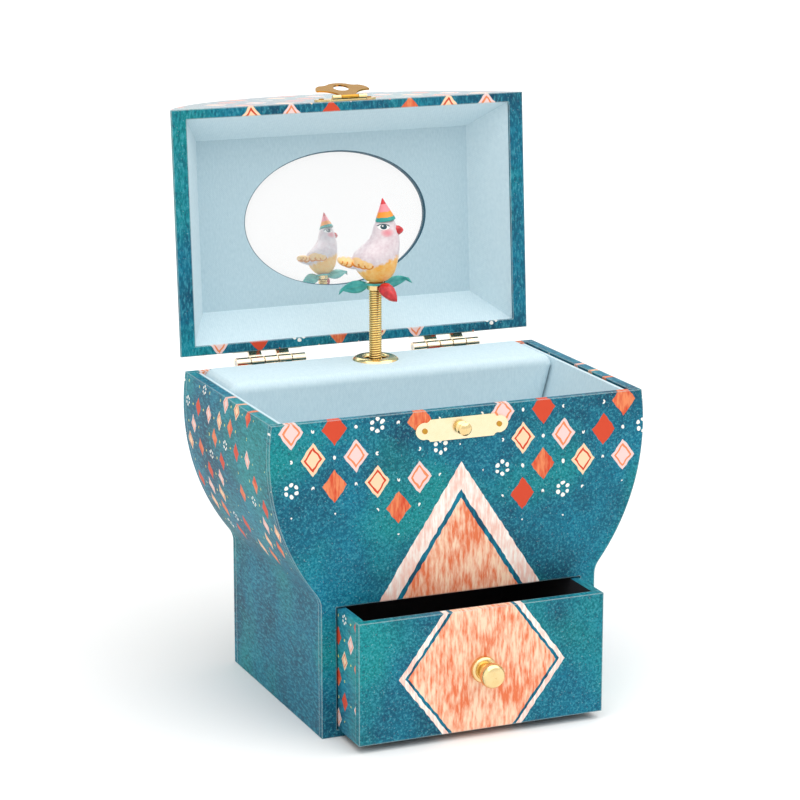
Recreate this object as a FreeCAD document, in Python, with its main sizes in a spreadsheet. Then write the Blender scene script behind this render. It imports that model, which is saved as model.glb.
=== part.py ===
import FreeCAD, Part
import math
import os
import re
import Sketcher

vector = FreeCAD.Vector
x_axis = vector(1, 0, 0)
y_axis = vector(0, 1, 0)
z_axis = vector(0, 0, 1)

# Driving dimensions, in millimetres, degrees and counts.
sizes = {
    # Case: a vase outline, wide at the rim, on a straight foot.
    "rim_width": 160,
    "rim_height": 130,
    "case_depth": 103,
    "foot_width": 120,
    "belly_height": 116,
    "neck_height": 54.25,
    "neck_round": 9,
    "panel_wall": 3,
    "skin_wall": 4,
    "base_wall": 3,
    "roof_wall": 3,
    "floor_wall": 1.5,
    "lining_wall": 1.5,
    "lining_drop": 0.8,
    "lining_inset": 0.5,
    # Drawer, shown pulled part of the way out.
    "guide_wall": 2.4,
    "drawer_height": 50,
    "drawer_depth": 92,
    "drawer_pull": 22,
    "drawer_gap": 0.6,
    "drawer_lift": 0.4,
    "drawer_wall": 3.6,
    "drawer_bottom": 2,
    "knob_length": 11.5,
    "knob_head": 10.2,
    "knob_head_length": 5.4,
    "knob_face": 8,
    "knob_dome": 0.5,
    "knob_flange": 10.8,
    "knob_flange_length": 1.4,
    "knob_neck": 6.4,
    "screw_width": 3,
    "screw_grip": 6,
    "screw_head": 6,
    "screw_head_length": 1.4,
    "screw_play": 0.05,
    # Cloth covered hood over the movement, with the brass grommet for the stem.
    "hood_depth": 32.3,
    "hood_rise": 1.2,
    "hood_wall": 1.5,
    "hood_round": 4,
    "hood_corner": 4.5,
    "hood_gap": 0.2,
    "stem_back": 14,
    "grommet_width": 19.6,
    "grommet_bore": 9.6,
    "grommet_wall": 0.8,
    "grommet_lip": 1.3,
    "grommet_play": 0.1,
    # Lid: an arched box with a sloped tray and an oval mirror.
    "lid_gap": 0.5,
    "lid_rise": 56,
    "lid_wall": 2.5,
    "lid_angle": 94,
    "frame_wall": 1.2,
    "frame_side": 6.5,
    "frame_front": 4,
    "tray_depth": 20.3,
    "tray_gap": 0.8,
    "tray_wall": 1,
    "board_wall": 1.6,
    "mirror_width": 84,
    "mirror_height": 58,
    "mirror_wall": 2,
    "mirror_overlap": 4,
    # Stop hinges on the back of the case and the lid.
    "hinge_place": 40.5,
    "hinge_width": 31,
    "hinge_back": 4.6,
    "hinge_barrel": 4.4,
    "hinge_pin": 2,
    "hinge_play": 0.05,
    "knuckle_gap": 0.3,
    "leaf_wall": 0.8,
    "leaf_height": 10,
    "leaf_drop": 2.4,
    "nail_width": 1.1,
    "nail_head": 2.2,
    "nail_head_wall": 0.4,
    "nail_play": 0.05,
    "nail_spread": 22,
    # Clasp: a scalloped plate and stud on the case, a hinged hasp on the lid.
    "clasp_drop": 8,
    "clasp_width": 40,
    "clasp_height": 9,
    "clasp_wall": 0.8,
    "clasp_lobe": 3.9,
    "clasp_notch": 1.4,
    "stud_neck": 3.2,
    "stud_head": 5.4,
    "stud_length": 5,
    "hasp_lift": 1.6,
    "hasp_stand": 1.8,
    "hasp_barrel": 1.9,
    "hasp_pin": 0.9,
    "hasp_knuckle": 7.4,
    "hasp_plate_width": 28,
    "hasp_plate_height": 8.4,
    "hasp_width": 24,
    "hasp_tail": 5.2,
    "hasp_wall": 0.7,
    "hasp_hole": 7,
    "hasp_fold": 163,
    # Movement: comb, pinned cylinder, spring barrel and air brake on one bedplate.
    "bed_wall": 3,
    "bed_left": 27,
    "bed_right": 23,
    "bed_gap": 1.5,
    "arbor_rise": 17.5,
    "arbor_width": 4,
    "barrel_width": 26,
    "barrel_length": 13,
    "crown_radius": 11.5,
    "crown_teeth": 48,
    "crown_face": 3,
    "crown_tip": 0.4,
    "crown_root": 0.6,
    "pinion_teeth": 12,
    "pinion_face": 2.4,
    "tooth_play": 0.24,
    "drum_width": 12.4,
    "drum_length": 20,
    "drum_space": 2.4,
    "drum_rows": 18,
    "row_pins": 3,
    "pin_width": 0.4,
    "pin_height": 0.6,
    "comb_wall": 1,
    "comb_length": 15,
    "comb_tooth_length": 9,
    "comb_slot": 0.3,
    "comb_gap": 0.15,
    "ledge_width": 7,
    "spindle_width": 2.4,
    "spindle_collar": 5.2,
    "spindle_play": 0.05,
    "lug_wall": 2,
    "lug_reach": 2,
    "wheel_teeth": 40,
    "wheel_radius": 7.2,
    "wheel_wall": 1.6,
    "leaf_teeth": 10,
    "worm_teeth": 16,
    "worm_wheel_radius": 5,
    "worm_wheel_wall": 1.4,
    "worm_radius": 2,
    "worm_wire": 0.8,
    "worm_shaft": 3,
    "worm_turns": 3,
    "brake_radius": 6.5,
    "brake_length": 4,
    "brake_wall": 0.6,
    "bracket_wall": 1.5,
    "key_hub": 7,
    "key_hub_length": 8,
    "key_wing": 13,
    "key_length": 17,
    "key_wall": 1.8,
    "key_stand": 1.5,
    # Figure: a seated bird in a cone hat on a close wound coil stem.
    "coil_width": 5.2,
    "coil_wire": 1,
    "coil_pitch": 1.5,
    "coil_turns": 20,
    "coil_bend": 1.2,
    "coil_start": 0.3,
    "stem_clear": 0.3,
    "leg_clear": 0.05,
    "socket_wall": 0.6,
    "socket_cover": 2.4,
    "figure_turn": -20,
    "bird_slim": 0.86,
    "seat_half": 5,
    "belly_half": 9.8,
    "belly_rise": 9,
    "breast_half": 8.6,
    "breast_rise": 13.9,
    "neck_half": 5.8,
    "neck_rise": 18.8,
    "head_half": 5,
    "head_rise": 21.6,
    "head_forward": 3.7,
    "brow_half": 3.8,
    "brow_rise": 25.6,
    "tail_length": 16.4,
    "tail_width": 8,
    "tail_height": 5.2,
    "tail_rise": 7.4,
    "hat_width": 8.2,
    "hat_height": 9.8,
    "beak_width": 3.1,
    "beak_length": 3.4,
    "beak_sink": 1.4,
    "collar_wall": 1,
    "collar_ring": 1.2,
    "leaf_wide": 6,
    "back_leaf_long": 11.5,
    "back_leaf_turn": 168,
    "back_leaf_droop": 20,
    "front_leaf_long": 12.3,
    "front_leaf_turn": 20,
    "front_leaf_droop": -5,
    "bud_width": 5,
    "bud_length": 11.7,
    "bud_turn": -50,
    "bud_droop": 27,
    "bud_sink": 0.5,
}

# Dimensions that follow from the driving ones.
derived = {
    "neck_reach": "foot_width / 2 + neck_round",
    # The belly's arc runs through the rim and touches the arc of the neck.
    "rim_drop": "rim_height - belly_height",
    "rim_step": "neck_reach - rim_width / 2",
    "belly_sum": "neck_round ^ 2 + rim_drop ^ 2 - rim_step ^ 2 - (belly_height - neck_height) ^ 2",
    "belly_product": "belly_sum ^ 2 + (2 * rim_step * rim_drop) ^ 2",
    "belly_root": "sqrt((neck_round * belly_sum) ^ 2 + (rim_step ^ 2 - neck_round ^ 2) * belly_product)",
    "belly_radius": "belly_product / (2 * (belly_root - neck_round * belly_sum))",
    "belly_center": "rim_width / 2 - sqrt(belly_radius ^ 2 - rim_drop ^ 2)",
    "neck_span": "belly_radius + neck_round",
    "neck_join_x": "belly_center + (neck_reach - belly_center) * belly_radius / neck_span",
    "neck_join_z": "belly_height + (neck_height - belly_height) * belly_radius / neck_span",
    "skin_radius": "belly_radius - skin_wall",
    "skin_join_x": "belly_center + (neck_reach - belly_center) * skin_radius / neck_span",
    "skin_join_z": "belly_height + (neck_height - belly_height) * skin_radius / neck_span",
    "skin_rim": "belly_center + sqrt(skin_radius ^ 2 - (rim_height - belly_height) ^ 2)",
    "foot_inside": "foot_width / 2 - skin_wall",
    "inner_depth": "case_depth / 2 - panel_wall",
    "bay_half": "foot_inside - guide_wall",
    "drawer_width": "(bay_half - drawer_gap) * 2",
    "drawer_low": "base_wall + drawer_lift",
    "bay_top": "drawer_low + drawer_height + drawer_gap",
    "floor_low": "bay_top + roof_wall",
    "floor_top": "floor_low + floor_wall",
    "lining_top": "rim_height - lining_drop",
    "lining_foot": "foot_inside + lining_inset / 2",
    "lining_slope": "(skin_rim - lining_inset - lining_foot) / (rim_height - floor_top)",
    "tray_half": "rim_width / 2 - frame_side",
    "tray_front": "case_depth / 2 - frame_front",
    "hood_back": "tray_front - hood_gap",
    "hood_front": "hood_back - hood_depth",
    "hood_top": "rim_height + hood_rise",
    "hood_foot": "lining_foot - lining_wall - hood_gap",
    "hood_half": "hood_foot + lining_slope * (hood_top - hood_corner - floor_top)",
    "stem_y": "case_depth / 2 - stem_back",
    "drawer_face": "-case_depth / 2 - drawer_pull",
    "knob_z": "drawer_low + drawer_height / 2",
    "lid_base": "rim_height + lid_gap",
    "arch_base": "lid_base + frame_wall",
    "arch_rise": "lid_rise - frame_wall",
    "arch_radius": "((rim_width / 2) ^ 2 + arch_rise ^ 2) / (2 * arch_rise)",
    "arch_inner": "arch_radius - lid_wall",
    "arch_inner_half": "sqrt(arch_inner ^ 2 - (arch_radius - arch_rise) ^ 2)",
    "board_low": "arch_base + tray_depth",
    "arch_center": "arch_base + arch_rise - arch_radius",
    "dome_half": "sqrt(arch_inner ^ 2 - (board_low + board_wall - arch_center) ^ 2)",
    "tray_taper": "tray_half + tray_wall - dome_half + tray_gap",
    "hinge_y": "case_depth / 2 + hinge_back",
    "hinge_z": "rim_height + lid_gap / 2",
    "knuckle_width": "hinge_width / 5",
    "clasp_z": "rim_height - clasp_drop",
    "hasp_y": "-case_depth / 2 - hasp_stand",
    "hasp_z": "lid_base + hasp_lift",
    "hasp_reach": "hasp_z - clasp_z",
    "bed_front": "inner_depth - bed_wall",
    "bed_low": "floor_top + bed_gap",
    "arbor_z": "floor_top + arbor_rise",
    "pinion_radius": "crown_radius * pinion_teeth / crown_teeth",
    "crown_pitch": "2 * pi * crown_radius / crown_teeth",
    "crown_y": "stem_y - pinion_radius",
    "pinion_z": "arbor_z + crown_radius",
    "drum_low": "pinion_z + pinion_face / 2 + drum_space",
    "drum_high": "drum_low + drum_length",
    "wheel_low": "drum_high + drum_space / 2",
    "lug_low": "wheel_low + wheel_wall + drum_space / 2",
    "leaf_radius": "wheel_radius * leaf_teeth / wheel_teeth",
    "train_x": "wheel_radius + leaf_radius",
    "worm_wheel_low": "lug_low + lug_wall + drum_space / 3",
    "worm_x": "train_x + worm_wheel_radius + worm_radius",
    "worm_z": "worm_wheel_low + worm_wheel_wall / 2",
    "worm_pitch": "2 * pi * worm_wheel_radius / worm_teeth",
    "brake_end": "stem_y - worm_wheel_radius - worm_wire * 2",
    "coil_radius": "(coil_width - coil_wire) / 2",
    "coil_low": "hood_top + coil_start",
    "coil_high": "coil_low + coil_turns * coil_pitch",
    "leg_length": "coil_bend + coil_wire",
    "collar_top": "coil_low - leg_length - leg_clear",
    "socket_inner": "coil_width / 2 + stem_clear",
    "socket_top": "coil_high + leg_length + leg_clear + socket_wall",
    "socket_low": "socket_top - socket_wall - socket_cover",
    "beak_start": "head_forward + head_half - beak_sink",
}

doc = FreeCAD.newDocument("jewellery_box")
sheet = doc.addObject("Spreadsheet::Sheet", "Sizes")
parts = {}


def fill_sheet():
    cells = [(name, str(number)) for name, number in sizes.items()]
    cells += [(name, "=" + formula) for name, formula in derived.items()]
    for row, (name, text) in enumerate(cells, 1):
        sheet.set(f"A{row}", name)
        sheet.set(f"B{row}", text)
        sheet.setAlias(f"B{row}", name)
        doc.recompute([sheet])


def value(expression):
    return float(sheet.evalExpression(expression))


def linked(expression):
    def point_at_sheet(match):
        word = match.group(0)
        return f"Sizes.{word}" if word in sizes or word in derived else word
    return re.sub(r"[a-z][a-z_]*", point_at_sheet, expression)


def bind(thing, **expressions):
    for name, expression in expressions.items():
        thing.setExpression(name.replace("__", "."), linked(expression))


def place(thing, x="0", y="0", z="0"):
    bind(thing, Placement__Base__x=x, Placement__Base__y=y, Placement__Base__z=z)


def keep(label, thing):
    thing.Label = label
    parts[label] = thing
    return thing


# Sketches: an outline is a ring of corners, each (x, y) or (x, y, radius).
# A radius bends the edge that leaves its corner, with the centre on the left, or on the right if negative.

def draw(sketch, corners):
    spots = [vector(value(corner[0]), value(corner[1]), 0) for corner in corners]
    rules = []
    formulas = []
    ends = []
    for corner, start, end in zip(corners, spots, spots[1:] + spots[:1]):
        if len(corner) == 2:
            edge = sketch.addGeometry(Part.LineSegment(start, end))
            ends.append((edge, 1, 2))
            continue
        radius = value(corner[2])
        chord = end - start
        left = vector(-chord.y, chord.x, 0).normalize()
        rise = math.copysign(math.sqrt(radius ** 2 - (chord.Length / 2) ** 2), radius)
        center = (start + end) * 0.5 + left * rise
        first, last = (start, end) if radius > 0 else (end, start)
        begin = math.atan2(first.y - center.y, first.x - center.x)
        finish = math.atan2(last.y - center.y, last.x - center.x)
        if finish < begin:
            finish += 2 * math.pi
        circle = Part.Circle(center, z_axis, abs(radius))
        edge = sketch.addGeometry(Part.ArcOfCircle(circle, begin, finish))
        ends.append((edge, 1, 2) if radius > 0 else (edge, 2, 1))
        rules.append(Sketcher.Constraint("Radius", edge, abs(radius)))
        formulas.append(f"abs({corner[2]})")
    for corner, spot, (edge, tail, _) in zip(corners, spots, ends):
        rules.append(Sketcher.Constraint("DistanceX", -1, 1, edge, tail, spot.x))
        rules.append(Sketcher.Constraint("DistanceY", -1, 1, edge, tail, spot.y))
        formulas += [corner[0], corner[1]]
    first_rule = sketch.ConstraintCount
    sketch.addConstraint(rules)
    for number, formula in enumerate(formulas, first_rule):
        sketch.setExpression(f"Constraints[{number}]", linked(formula))
    joins = zip(ends, ends[1:] + ends[:1])
    sketch.addConstraint([
        Sketcher.Constraint("Coincident", one[0], one[2], two[0], two[1]) for one, two in joins])


def ring(sketch, x, y, radius):
    spot = vector(value(x), value(y), 0)
    edge = sketch.addGeometry(Part.Circle(spot, z_axis, value(radius)))
    first_rule = sketch.ConstraintCount
    sketch.addConstraint([
        Sketcher.Constraint("DistanceX", -1, 1, edge, 3, spot.x),
        Sketcher.Constraint("DistanceY", -1, 1, edge, 3, spot.y),
        Sketcher.Constraint("Radius", edge, value(radius))])
    for number, formula in enumerate((x, y, radius), first_rule):
        sketch.setExpression(f"Constraints[{number}]", linked(formula))


def oval(sketch, long_half, short_half):
    wide = value(long_half)
    tall = value(short_half)
    edge = sketch.addGeometry(Part.Ellipse(vector(0, 0, 0), wide, tall))
    sketch.exposeInternalGeometry(edge)
    long_line = edge + 1
    short_line = edge + 2
    first_rule = sketch.ConstraintCount
    sketch.addConstraint([
        Sketcher.Constraint("Distance", long_line, 2 * wide),
        Sketcher.Constraint("Distance", short_line, 2 * tall)])
    sketch.setExpression(f"Constraints[{first_rule}]", linked(f"2 * {long_half}"))
    sketch.setExpression(f"Constraints[{first_rule + 1}]", linked(f"2 * {short_half}"))
    sketch.addConstraint([
        Sketcher.Constraint("Coincident", edge, 3, -1, 1),
        Sketcher.Constraint("Horizontal", long_line)])


def sketch_on(body, role, level="0"):
    sketch = body.newObject("Sketcher::SketchObject", "outline")
    plane = next(item for item in body.Origin.OriginFeatures if item.Role == role)
    sketch.AttachmentSupport = [(plane, "")]
    sketch.MapMode = "FlatFace"
    # The XZ plane looks along -Y, so a level along +Y counts backwards there.
    height = f"-({level})" if role == "XZ_Plane" else level
    sketch.setExpression("AttachmentOffset.Base.z", linked(height))
    return sketch


def new_body(label):
    return keep(label, doc.addObject("PartDesign::Body", label))


def pad(body, role, level, thickness, corners, *cut_outs, holes=()):
    sketch = sketch_on(body, role, level)
    draw(sketch, corners)
    for corners_inside in cut_outs:
        draw(sketch, corners_inside)
    for hole in holes:
        ring(sketch, *hole)
    return raise_pad(body, sketch, role, thickness)


def raise_pad(body, sketch, role, thickness):
    feature = body.newObject("PartDesign::Pad", "pad")
    feature.Profile = sketch
    feature.Reversed = role == "XZ_Plane"
    bind(feature, Length=thickness)
    return feature


def rod(body, role, level, length, x, y, radius):
    sketch = sketch_on(body, role, level)
    ring(sketch, x, y, radius)
    return raise_pad(body, sketch, role, length)


def cut_through(body, role, corners=None, hole=None):
    sketch = sketch_on(body, role)
    if corners:
        draw(sketch, corners)
    if hole:
        ring(sketch, *hole)
    feature = body.newObject("PartDesign::Pocket", "cut")
    feature.Profile = sketch
    feature.Type = "ThroughAll"
    feature.SideType = "Symmetric"
    return feature


def spin(body, corners):
    sketch = sketch_on(body, "XZ_Plane")
    draw(sketch, corners)
    feature = body.newObject("PartDesign::Revolution", "turning")
    feature.Profile = sketch
    feature.ReferenceAxis = (sketch, ["V_Axis"])
    return feature


def repeat_round(body, feature, count):
    pattern = body.newObject("PartDesign::PolarPattern", "teeth")
    pattern.Originals = [feature]
    pattern.Axis = (next(item for item in body.Origin.OriginFeatures if item.Role == "Z_Axis"), [""])
    pattern.Angle = 360
    pattern.setExpression("Occurrences", linked(count))
    body.Tip = pattern
    return pattern


def turned(label, corners):
    body = new_body(label)
    spin(body, corners)
    return body


def board(label, role, level, thickness, corners, *cut_outs, holes=()):
    body = new_body(label)
    pad(body, role, level, thickness, corners, *cut_outs, holes=holes)
    return body


def dome(half, rise):
    return f"(({half}) ^ 2 + ({rise}) ^ 2) / (2 * ({rise}))"


def rectangle(left, low, right, high):
    return [(left, low), (right, low), (right, high), (left, high)]


def flipped(corners):
    turned_over = []
    for corner in corners:
        bend = [f"-({part})" for part in corner[2:]]
        turned_over.append((f"-({corner[0]})", corner[1], *bend))
    return turned_over


def grouped(label, items):
    group = doc.addObject("Part::Compound", label)
    group.Links = items
    return keep(label, group)


def pair(label, level, thickness, corners):
    items = []
    for outline in (corners, flipped(corners)):
        body = doc.addObject("PartDesign::Body", "one_side")
        pad(body, "XZ_Plane", level, thickness, outline)
        items.append(body)
    return grouped(label, items)


def cylinder(x, y, z, radius, length, direction):
    piece = doc.addObject("Part::Cylinder", "rod")
    bind(piece, Radius=radius, Height=length)
    place(piece, x, y, z)
    piece.Placement.Rotation = FreeCAD.Rotation(z_axis, direction)
    return piece


def fused(*pieces):
    joined = doc.addObject("Part::MultiFuse", "joined")
    joined.Shapes = list(pieces)
    return joined


def about_x(y, z, angle):
    pivot = vector(0, value(y), value(z))
    return FreeCAD.Placement(vector(0, 0, 0), FreeCAD.Rotation(x_axis, angle), pivot)


fill_sheet()
lid_pose = about_x("hinge_y", "hinge_z", -value("lid_angle"))
hasp_pose = lid_pose.multiply(about_x("hasp_y", "hasp_z", -value("hasp_fold")))
along_y = FreeCAD.Rotation(x_axis, -90)
along_minus_y = FreeCAD.Rotation(x_axis, 90)
figure_pose = FreeCAD.Placement(
    vector(0, value("stem_y"), 0), FreeCAD.Rotation(z_axis, value("figure_turn")))


# Case boards

def side_outline(inside):
    outer = [
        ("foot_width / 2", "0"),
        ("foot_width / 2", "neck_height", "-neck_round"),
        ("neck_join_x", "neck_join_z", "belly_radius"),
        ("rim_width / 2", "rim_height")]
    if not inside:
        return outer
    return [("foot_inside", "0")] + outer + [
        ("skin_rim", "rim_height", "-skin_radius"),
        ("skin_join_x", "skin_join_z", "neck_round + skin_wall"),
        ("foot_inside", "neck_height")]


def case_outline():
    right = side_outline(False)
    left = [
        ("-rim_width / 2", "rim_height", "belly_radius"),
        ("-neck_join_x", "neck_join_z", "-neck_round"),
        ("-foot_width / 2", "neck_height"),
        ("-foot_width / 2", "0")]
    return right + left


def nail_spots(x, half_spread, z):
    return [(f"{x} - {half_spread}", z), (f"{x} + {half_spread}", z)]


clasp_nail_x = "(clasp_width / 2 - clasp_lobe)"
clasp_nails = [(f"-{clasp_nail_x}", "clasp_z"), (clasp_nail_x, "clasp_z")]
case_leaf_nail_z = "(rim_height - leaf_drop - leaf_height / 2)"
hinge_nails = [
    spot for side in ("-hinge_place", "hinge_place")
    for spot in nail_spots(side, "nail_spread / 2", case_leaf_nail_z)]
bed_screws = [("-bed_left + ledge_width / 2", "bed_low + bed_gap * 3")]
bed_screws += [("bed_right - ledge_width / 2", "bed_low + bed_gap * 3")]
bed_screws += [("bed_right - ledge_width / 2", "drum_low")]
nail_hole = "nail_width / 2 + nail_play"
screw_hole = "screw_width / 2 + screw_play"

bay_window = rectangle("-bay_half", "base_wall", "bay_half", "bay_top")
board(
    "front_panel", "XZ_Plane", "-case_depth / 2", "panel_wall", case_outline(), bay_window,
    holes=[(x, z, nail_hole) for x, z in clasp_nails] + [("0", "clasp_z", "stud_neck / 2")])
back_holes = [(x, z, nail_hole) for x, z in hinge_nails]
back_holes.append(("0", "arbor_z", "arbor_width / 2 + key_stand / 2"))
board("back_panel", "XZ_Plane", "inner_depth", "panel_wall", case_outline(), holes=back_holes)
board("right_side_skin", "XZ_Plane", "-inner_depth", "2 * inner_depth", side_outline(True))
board("left_side_skin", "XZ_Plane", "-inner_depth", "2 * inner_depth", flipped(side_outline(True)))
inside_floor = rectangle("-foot_inside", "-inner_depth", "foot_inside", "inner_depth")
board("base_board", "XY_Plane", "0", "base_wall", inside_floor)
board("bay_roof", "XY_Plane", "bay_top", "roof_wall", inside_floor)
board("compartment_floor", "XY_Plane", "floor_low", "floor_wall", inside_floor)
right_guide = rectangle("bay_half", "base_wall", "foot_inside", "bay_top")
pair("bay_guides", "-inner_depth", "2 * inner_depth", right_guide)


# Cloth covered lining: flat boards that slope from the rim to the compartment floor

lining_reach = "lining_foot + lining_slope * (lining_top - floor_top)"
right_lining = [
    ("lining_foot - lining_wall", "floor_top"),
    ("lining_foot", "floor_top"),
    (lining_reach, "lining_top"),
    (f"{lining_reach} - lining_wall", "lining_top")]
board("right_lining", "XZ_Plane", "-inner_depth", "2 * inner_depth", right_lining)
board("left_lining", "XZ_Plane", "-inner_depth", "2 * inner_depth", flipped(right_lining))
front_lining = [
    ("-hood_foot", "floor_top"),
    ("hood_foot", "floor_top"),
    (f"{lining_reach} - lining_wall - hood_gap", "lining_top"),
    (f"-({lining_reach} - lining_wall - hood_gap)", "lining_top")]
board("front_lining", "XZ_Plane", "-inner_depth", "lining_wall", front_lining)


# Hood over the movement

def hood_outline(inset, corner):
    half = f"(hood_half - {inset})"
    foot = f"(hood_foot - {inset})"
    top = f"(hood_top - {inset})"
    return [
        (f"-{foot}", "floor_top"),
        (foot, "floor_top"),
        (half, f"{top} - {corner}", corner),
        (f"{half} - {corner}", top),
        (f"-({half} - {corner})", top, corner),
        (f"-{half}", f"{top} - {corner}")]


def make_hood():
    body = new_body("mechanism_cover")
    pad(body, "XZ_Plane", "hood_front", "hood_depth", hood_outline("0", "hood_corner"))
    sketch = sketch_on(body, "XZ_Plane", "hood_back")
    draw(sketch, hood_outline("hood_wall", "(hood_corner - hood_wall)"))
    hollow = body.newObject("PartDesign::Pocket", "hollow")
    hollow.Profile = sketch
    hollow.Reversed = True
    bind(hollow, Length="hood_depth - hood_wall")
    doc.recompute()
    front = value("hood_front")
    floor = value("floor_top")
    names = []
    for number, edge in enumerate(hollow.Shape.Edges, 1):
        box = edge.BoundBox
        on_front = max(abs(box.YMin - front), abs(box.YMax - front)) < 0.01
        if on_front and box.ZMax > floor + 1:
            names.append(f"Edge{number}")
    rounding = body.newObject("PartDesign::Fillet", "rounding")
    rounding.Base = (hollow, names)
    bind(rounding, Radius="hood_round")
    body.Tip = rounding
    doc.recompute()
    cut_through(body, "XY_Plane", hole=("0", "stem_y", "grommet_bore / 2 + grommet_wall + grommet_play"))


make_hood()
grommet = turned("stem_grommet", [
    ("grommet_bore / 2", "-hood_wall - grommet_play"),
    ("grommet_bore / 2 + grommet_wall", "-hood_wall - grommet_play"),
    ("grommet_bore / 2 + grommet_wall", "0"),
    ("grommet_width / 2", "0", "grommet_lip * 2"),
    ("grommet_width / 2 - grommet_lip * 1.4", "grommet_lip"),
    ("grommet_bore / 2 + grommet_lip", "grommet_lip", "grommet_lip"),
    ("grommet_bore / 2", "0")])
place(grommet, y="stem_y", z="hood_top")


# Drawer

drawer_in = "drawer_face + drawer_wall"
drawer_end = "drawer_face + drawer_depth"
drawer_top = "drawer_low + drawer_height"
drawer_half = "drawer_width / 2"
board(
    "drawer_front", "XZ_Plane", "drawer_face", "drawer_wall",
    rectangle(f"-{drawer_half}", "drawer_low", drawer_half, drawer_top), holes=[("0", "knob_z", screw_hole)])
drawer_side = rectangle(f"{drawer_half} - drawer_wall", "drawer_low", drawer_half, drawer_top)
side_length = "drawer_depth - drawer_wall"
pair("drawer_sides", drawer_in, side_length, drawer_side)
inside_half = f"{drawer_half} - drawer_wall"
board(
    "drawer_back", "XZ_Plane", f"{drawer_end} - drawer_wall", "drawer_wall",
    rectangle(f"-({inside_half})", "drawer_low", inside_half, drawer_top))
board(
    "drawer_floor", "XY_Plane", "drawer_low", "drawer_bottom",
    rectangle(f"-({inside_half})", drawer_in, inside_half, f"{drawer_end} - drawer_wall"))
knob = turned("drawer_knob", [
    (screw_hole, "0"),
    ("knob_flange / 2", "0"),
    ("knob_flange / 2", "knob_flange_length / 2", "knob_flange_length"),
    ("knob_neck / 2", "knob_flange_length * 1.6"),
    ("knob_neck / 2", "knob_length - knob_head_length", "-knob_head_length / 2"),
    ("knob_head / 2", "knob_length - knob_head_length * 0.6", "knob_head_length * 0.66"),
    ("knob_face / 2", "knob_length", dome("knob_face / 2", "knob_dome")),
    ("0", "knob_length + knob_dome"),
    ("0", "screw_grip"),
    (screw_hole, "screw_grip")])
knob.Placement.Rotation = along_minus_y
place(knob, y="drawer_face", z="knob_z")
screw = turned("knob_screw", [
    ("0", "screw_play - screw_grip"),
    ("screw_width / 2", "screw_play - screw_grip"),
    ("screw_width / 2", "drawer_wall"),
    ("screw_head / 2", "drawer_wall", dome("screw_head / 2", "screw_head_length")),
    ("0", "drawer_wall + screw_head_length")])
screw.Placement.Rotation = along_y
place(screw, y="drawer_face", z="knob_z")


# Lid, drawn closed on the case and then turned open about the hinge pins

def on_lid(body):
    body.Placement = lid_pose
    return body


arch_outline = [
    ("-rim_width / 2", "arch_base"),
    ("rim_width / 2", "arch_base", "arch_radius")]
hasp_nail_x = "(hasp_plate_width / 2 - clasp_lobe * 0.8)"
hasp_nail_z = "(hasp_z + hasp_plate_height / 2 + hasp_barrel / 2)"
lid_leaf_nail_z = "(lid_base + leaf_drop + leaf_height / 2)"
lid_hinge_nails = [(x, lid_leaf_nail_z) for x, _ in hinge_nails]
hasp_nails = [(f"-{hasp_nail_x}", hasp_nail_z), (hasp_nail_x, hasp_nail_z)]
on_lid(board(
    "lid_front_panel", "XZ_Plane", "-case_depth / 2", "panel_wall", arch_outline,
    holes=[(x, z, nail_hole) for x, z in hasp_nails]))
on_lid(board(
    "lid_back_panel", "XZ_Plane", "inner_depth", "panel_wall", arch_outline,
    holes=[(x, z, nail_hole) for x, z in lid_hinge_nails]))
on_lid(board("lid_dome_skin", "XZ_Plane", "-inner_depth", "2 * inner_depth", [
    ("rim_width / 2", "arch_base", "arch_radius"),
    ("-rim_width / 2", "arch_base"),
    ("-arch_inner_half", "arch_base", "-arch_inner"),
    ("arch_inner_half", "arch_base")]))
on_lid(board(
    "lid_rim_frame", "XY_Plane", "lid_base", "frame_wall",
    rectangle("-rim_width / 2", "-case_depth / 2", "rim_width / 2", "case_depth / 2"),
    rectangle("-tray_half", "-tray_front", "tray_half", "tray_front")))


def make_tray():
    body = new_body("lid_tray")
    for kind, spread in (("AdditiveLoft", "tray_wall"), ("SubtractiveLoft", "0")):
        layers = []
        for level, shrink in (("arch_base", "0"), ("board_low", "tray_taper")):
            half = f"(tray_half + {spread} - {shrink})"
            deep = f"(tray_front + {spread} - {shrink})"
            layer = sketch_on(body, "XY_Plane", level)
            draw(layer, rectangle(f"-{half}", f"-{deep}", half, deep))
            layers.append(layer)
        loft = body.newObject(f"PartDesign::{kind}", "slope")
        loft.Profile = layers[0]
        loft.Sections = layers[1:]
        loft.Ruled = True
        doc.recompute()
    return on_lid(body)


def make_mirror_board():
    body = new_body("mirror_board")
    half = "(tray_half + tray_wall - tray_taper)"
    deep = "(tray_front + tray_wall - tray_taper)"
    sketch = sketch_on(body, "XY_Plane", "board_low")
    draw(sketch, rectangle(f"-{half}", f"-{deep}", half, deep))
    oval(sketch, "mirror_width / 2", "mirror_height / 2")
    raise_pad(body, sketch, "XY_Plane", "board_wall")
    return on_lid(body)


def make_mirror():
    body = new_body("mirror")
    sketch = sketch_on(body, "XY_Plane", "board_low + board_wall")
    oval(sketch, "mirror_width / 2 + mirror_overlap", "mirror_height / 2 + mirror_overlap")
    raise_pad(body, sketch, "XY_Plane", "mirror_wall")
    return on_lid(body)


make_tray()
make_mirror_board()
make_mirror()


# Hinges: five knuckles each, three on the case leaf and two on the lid leaf

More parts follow.
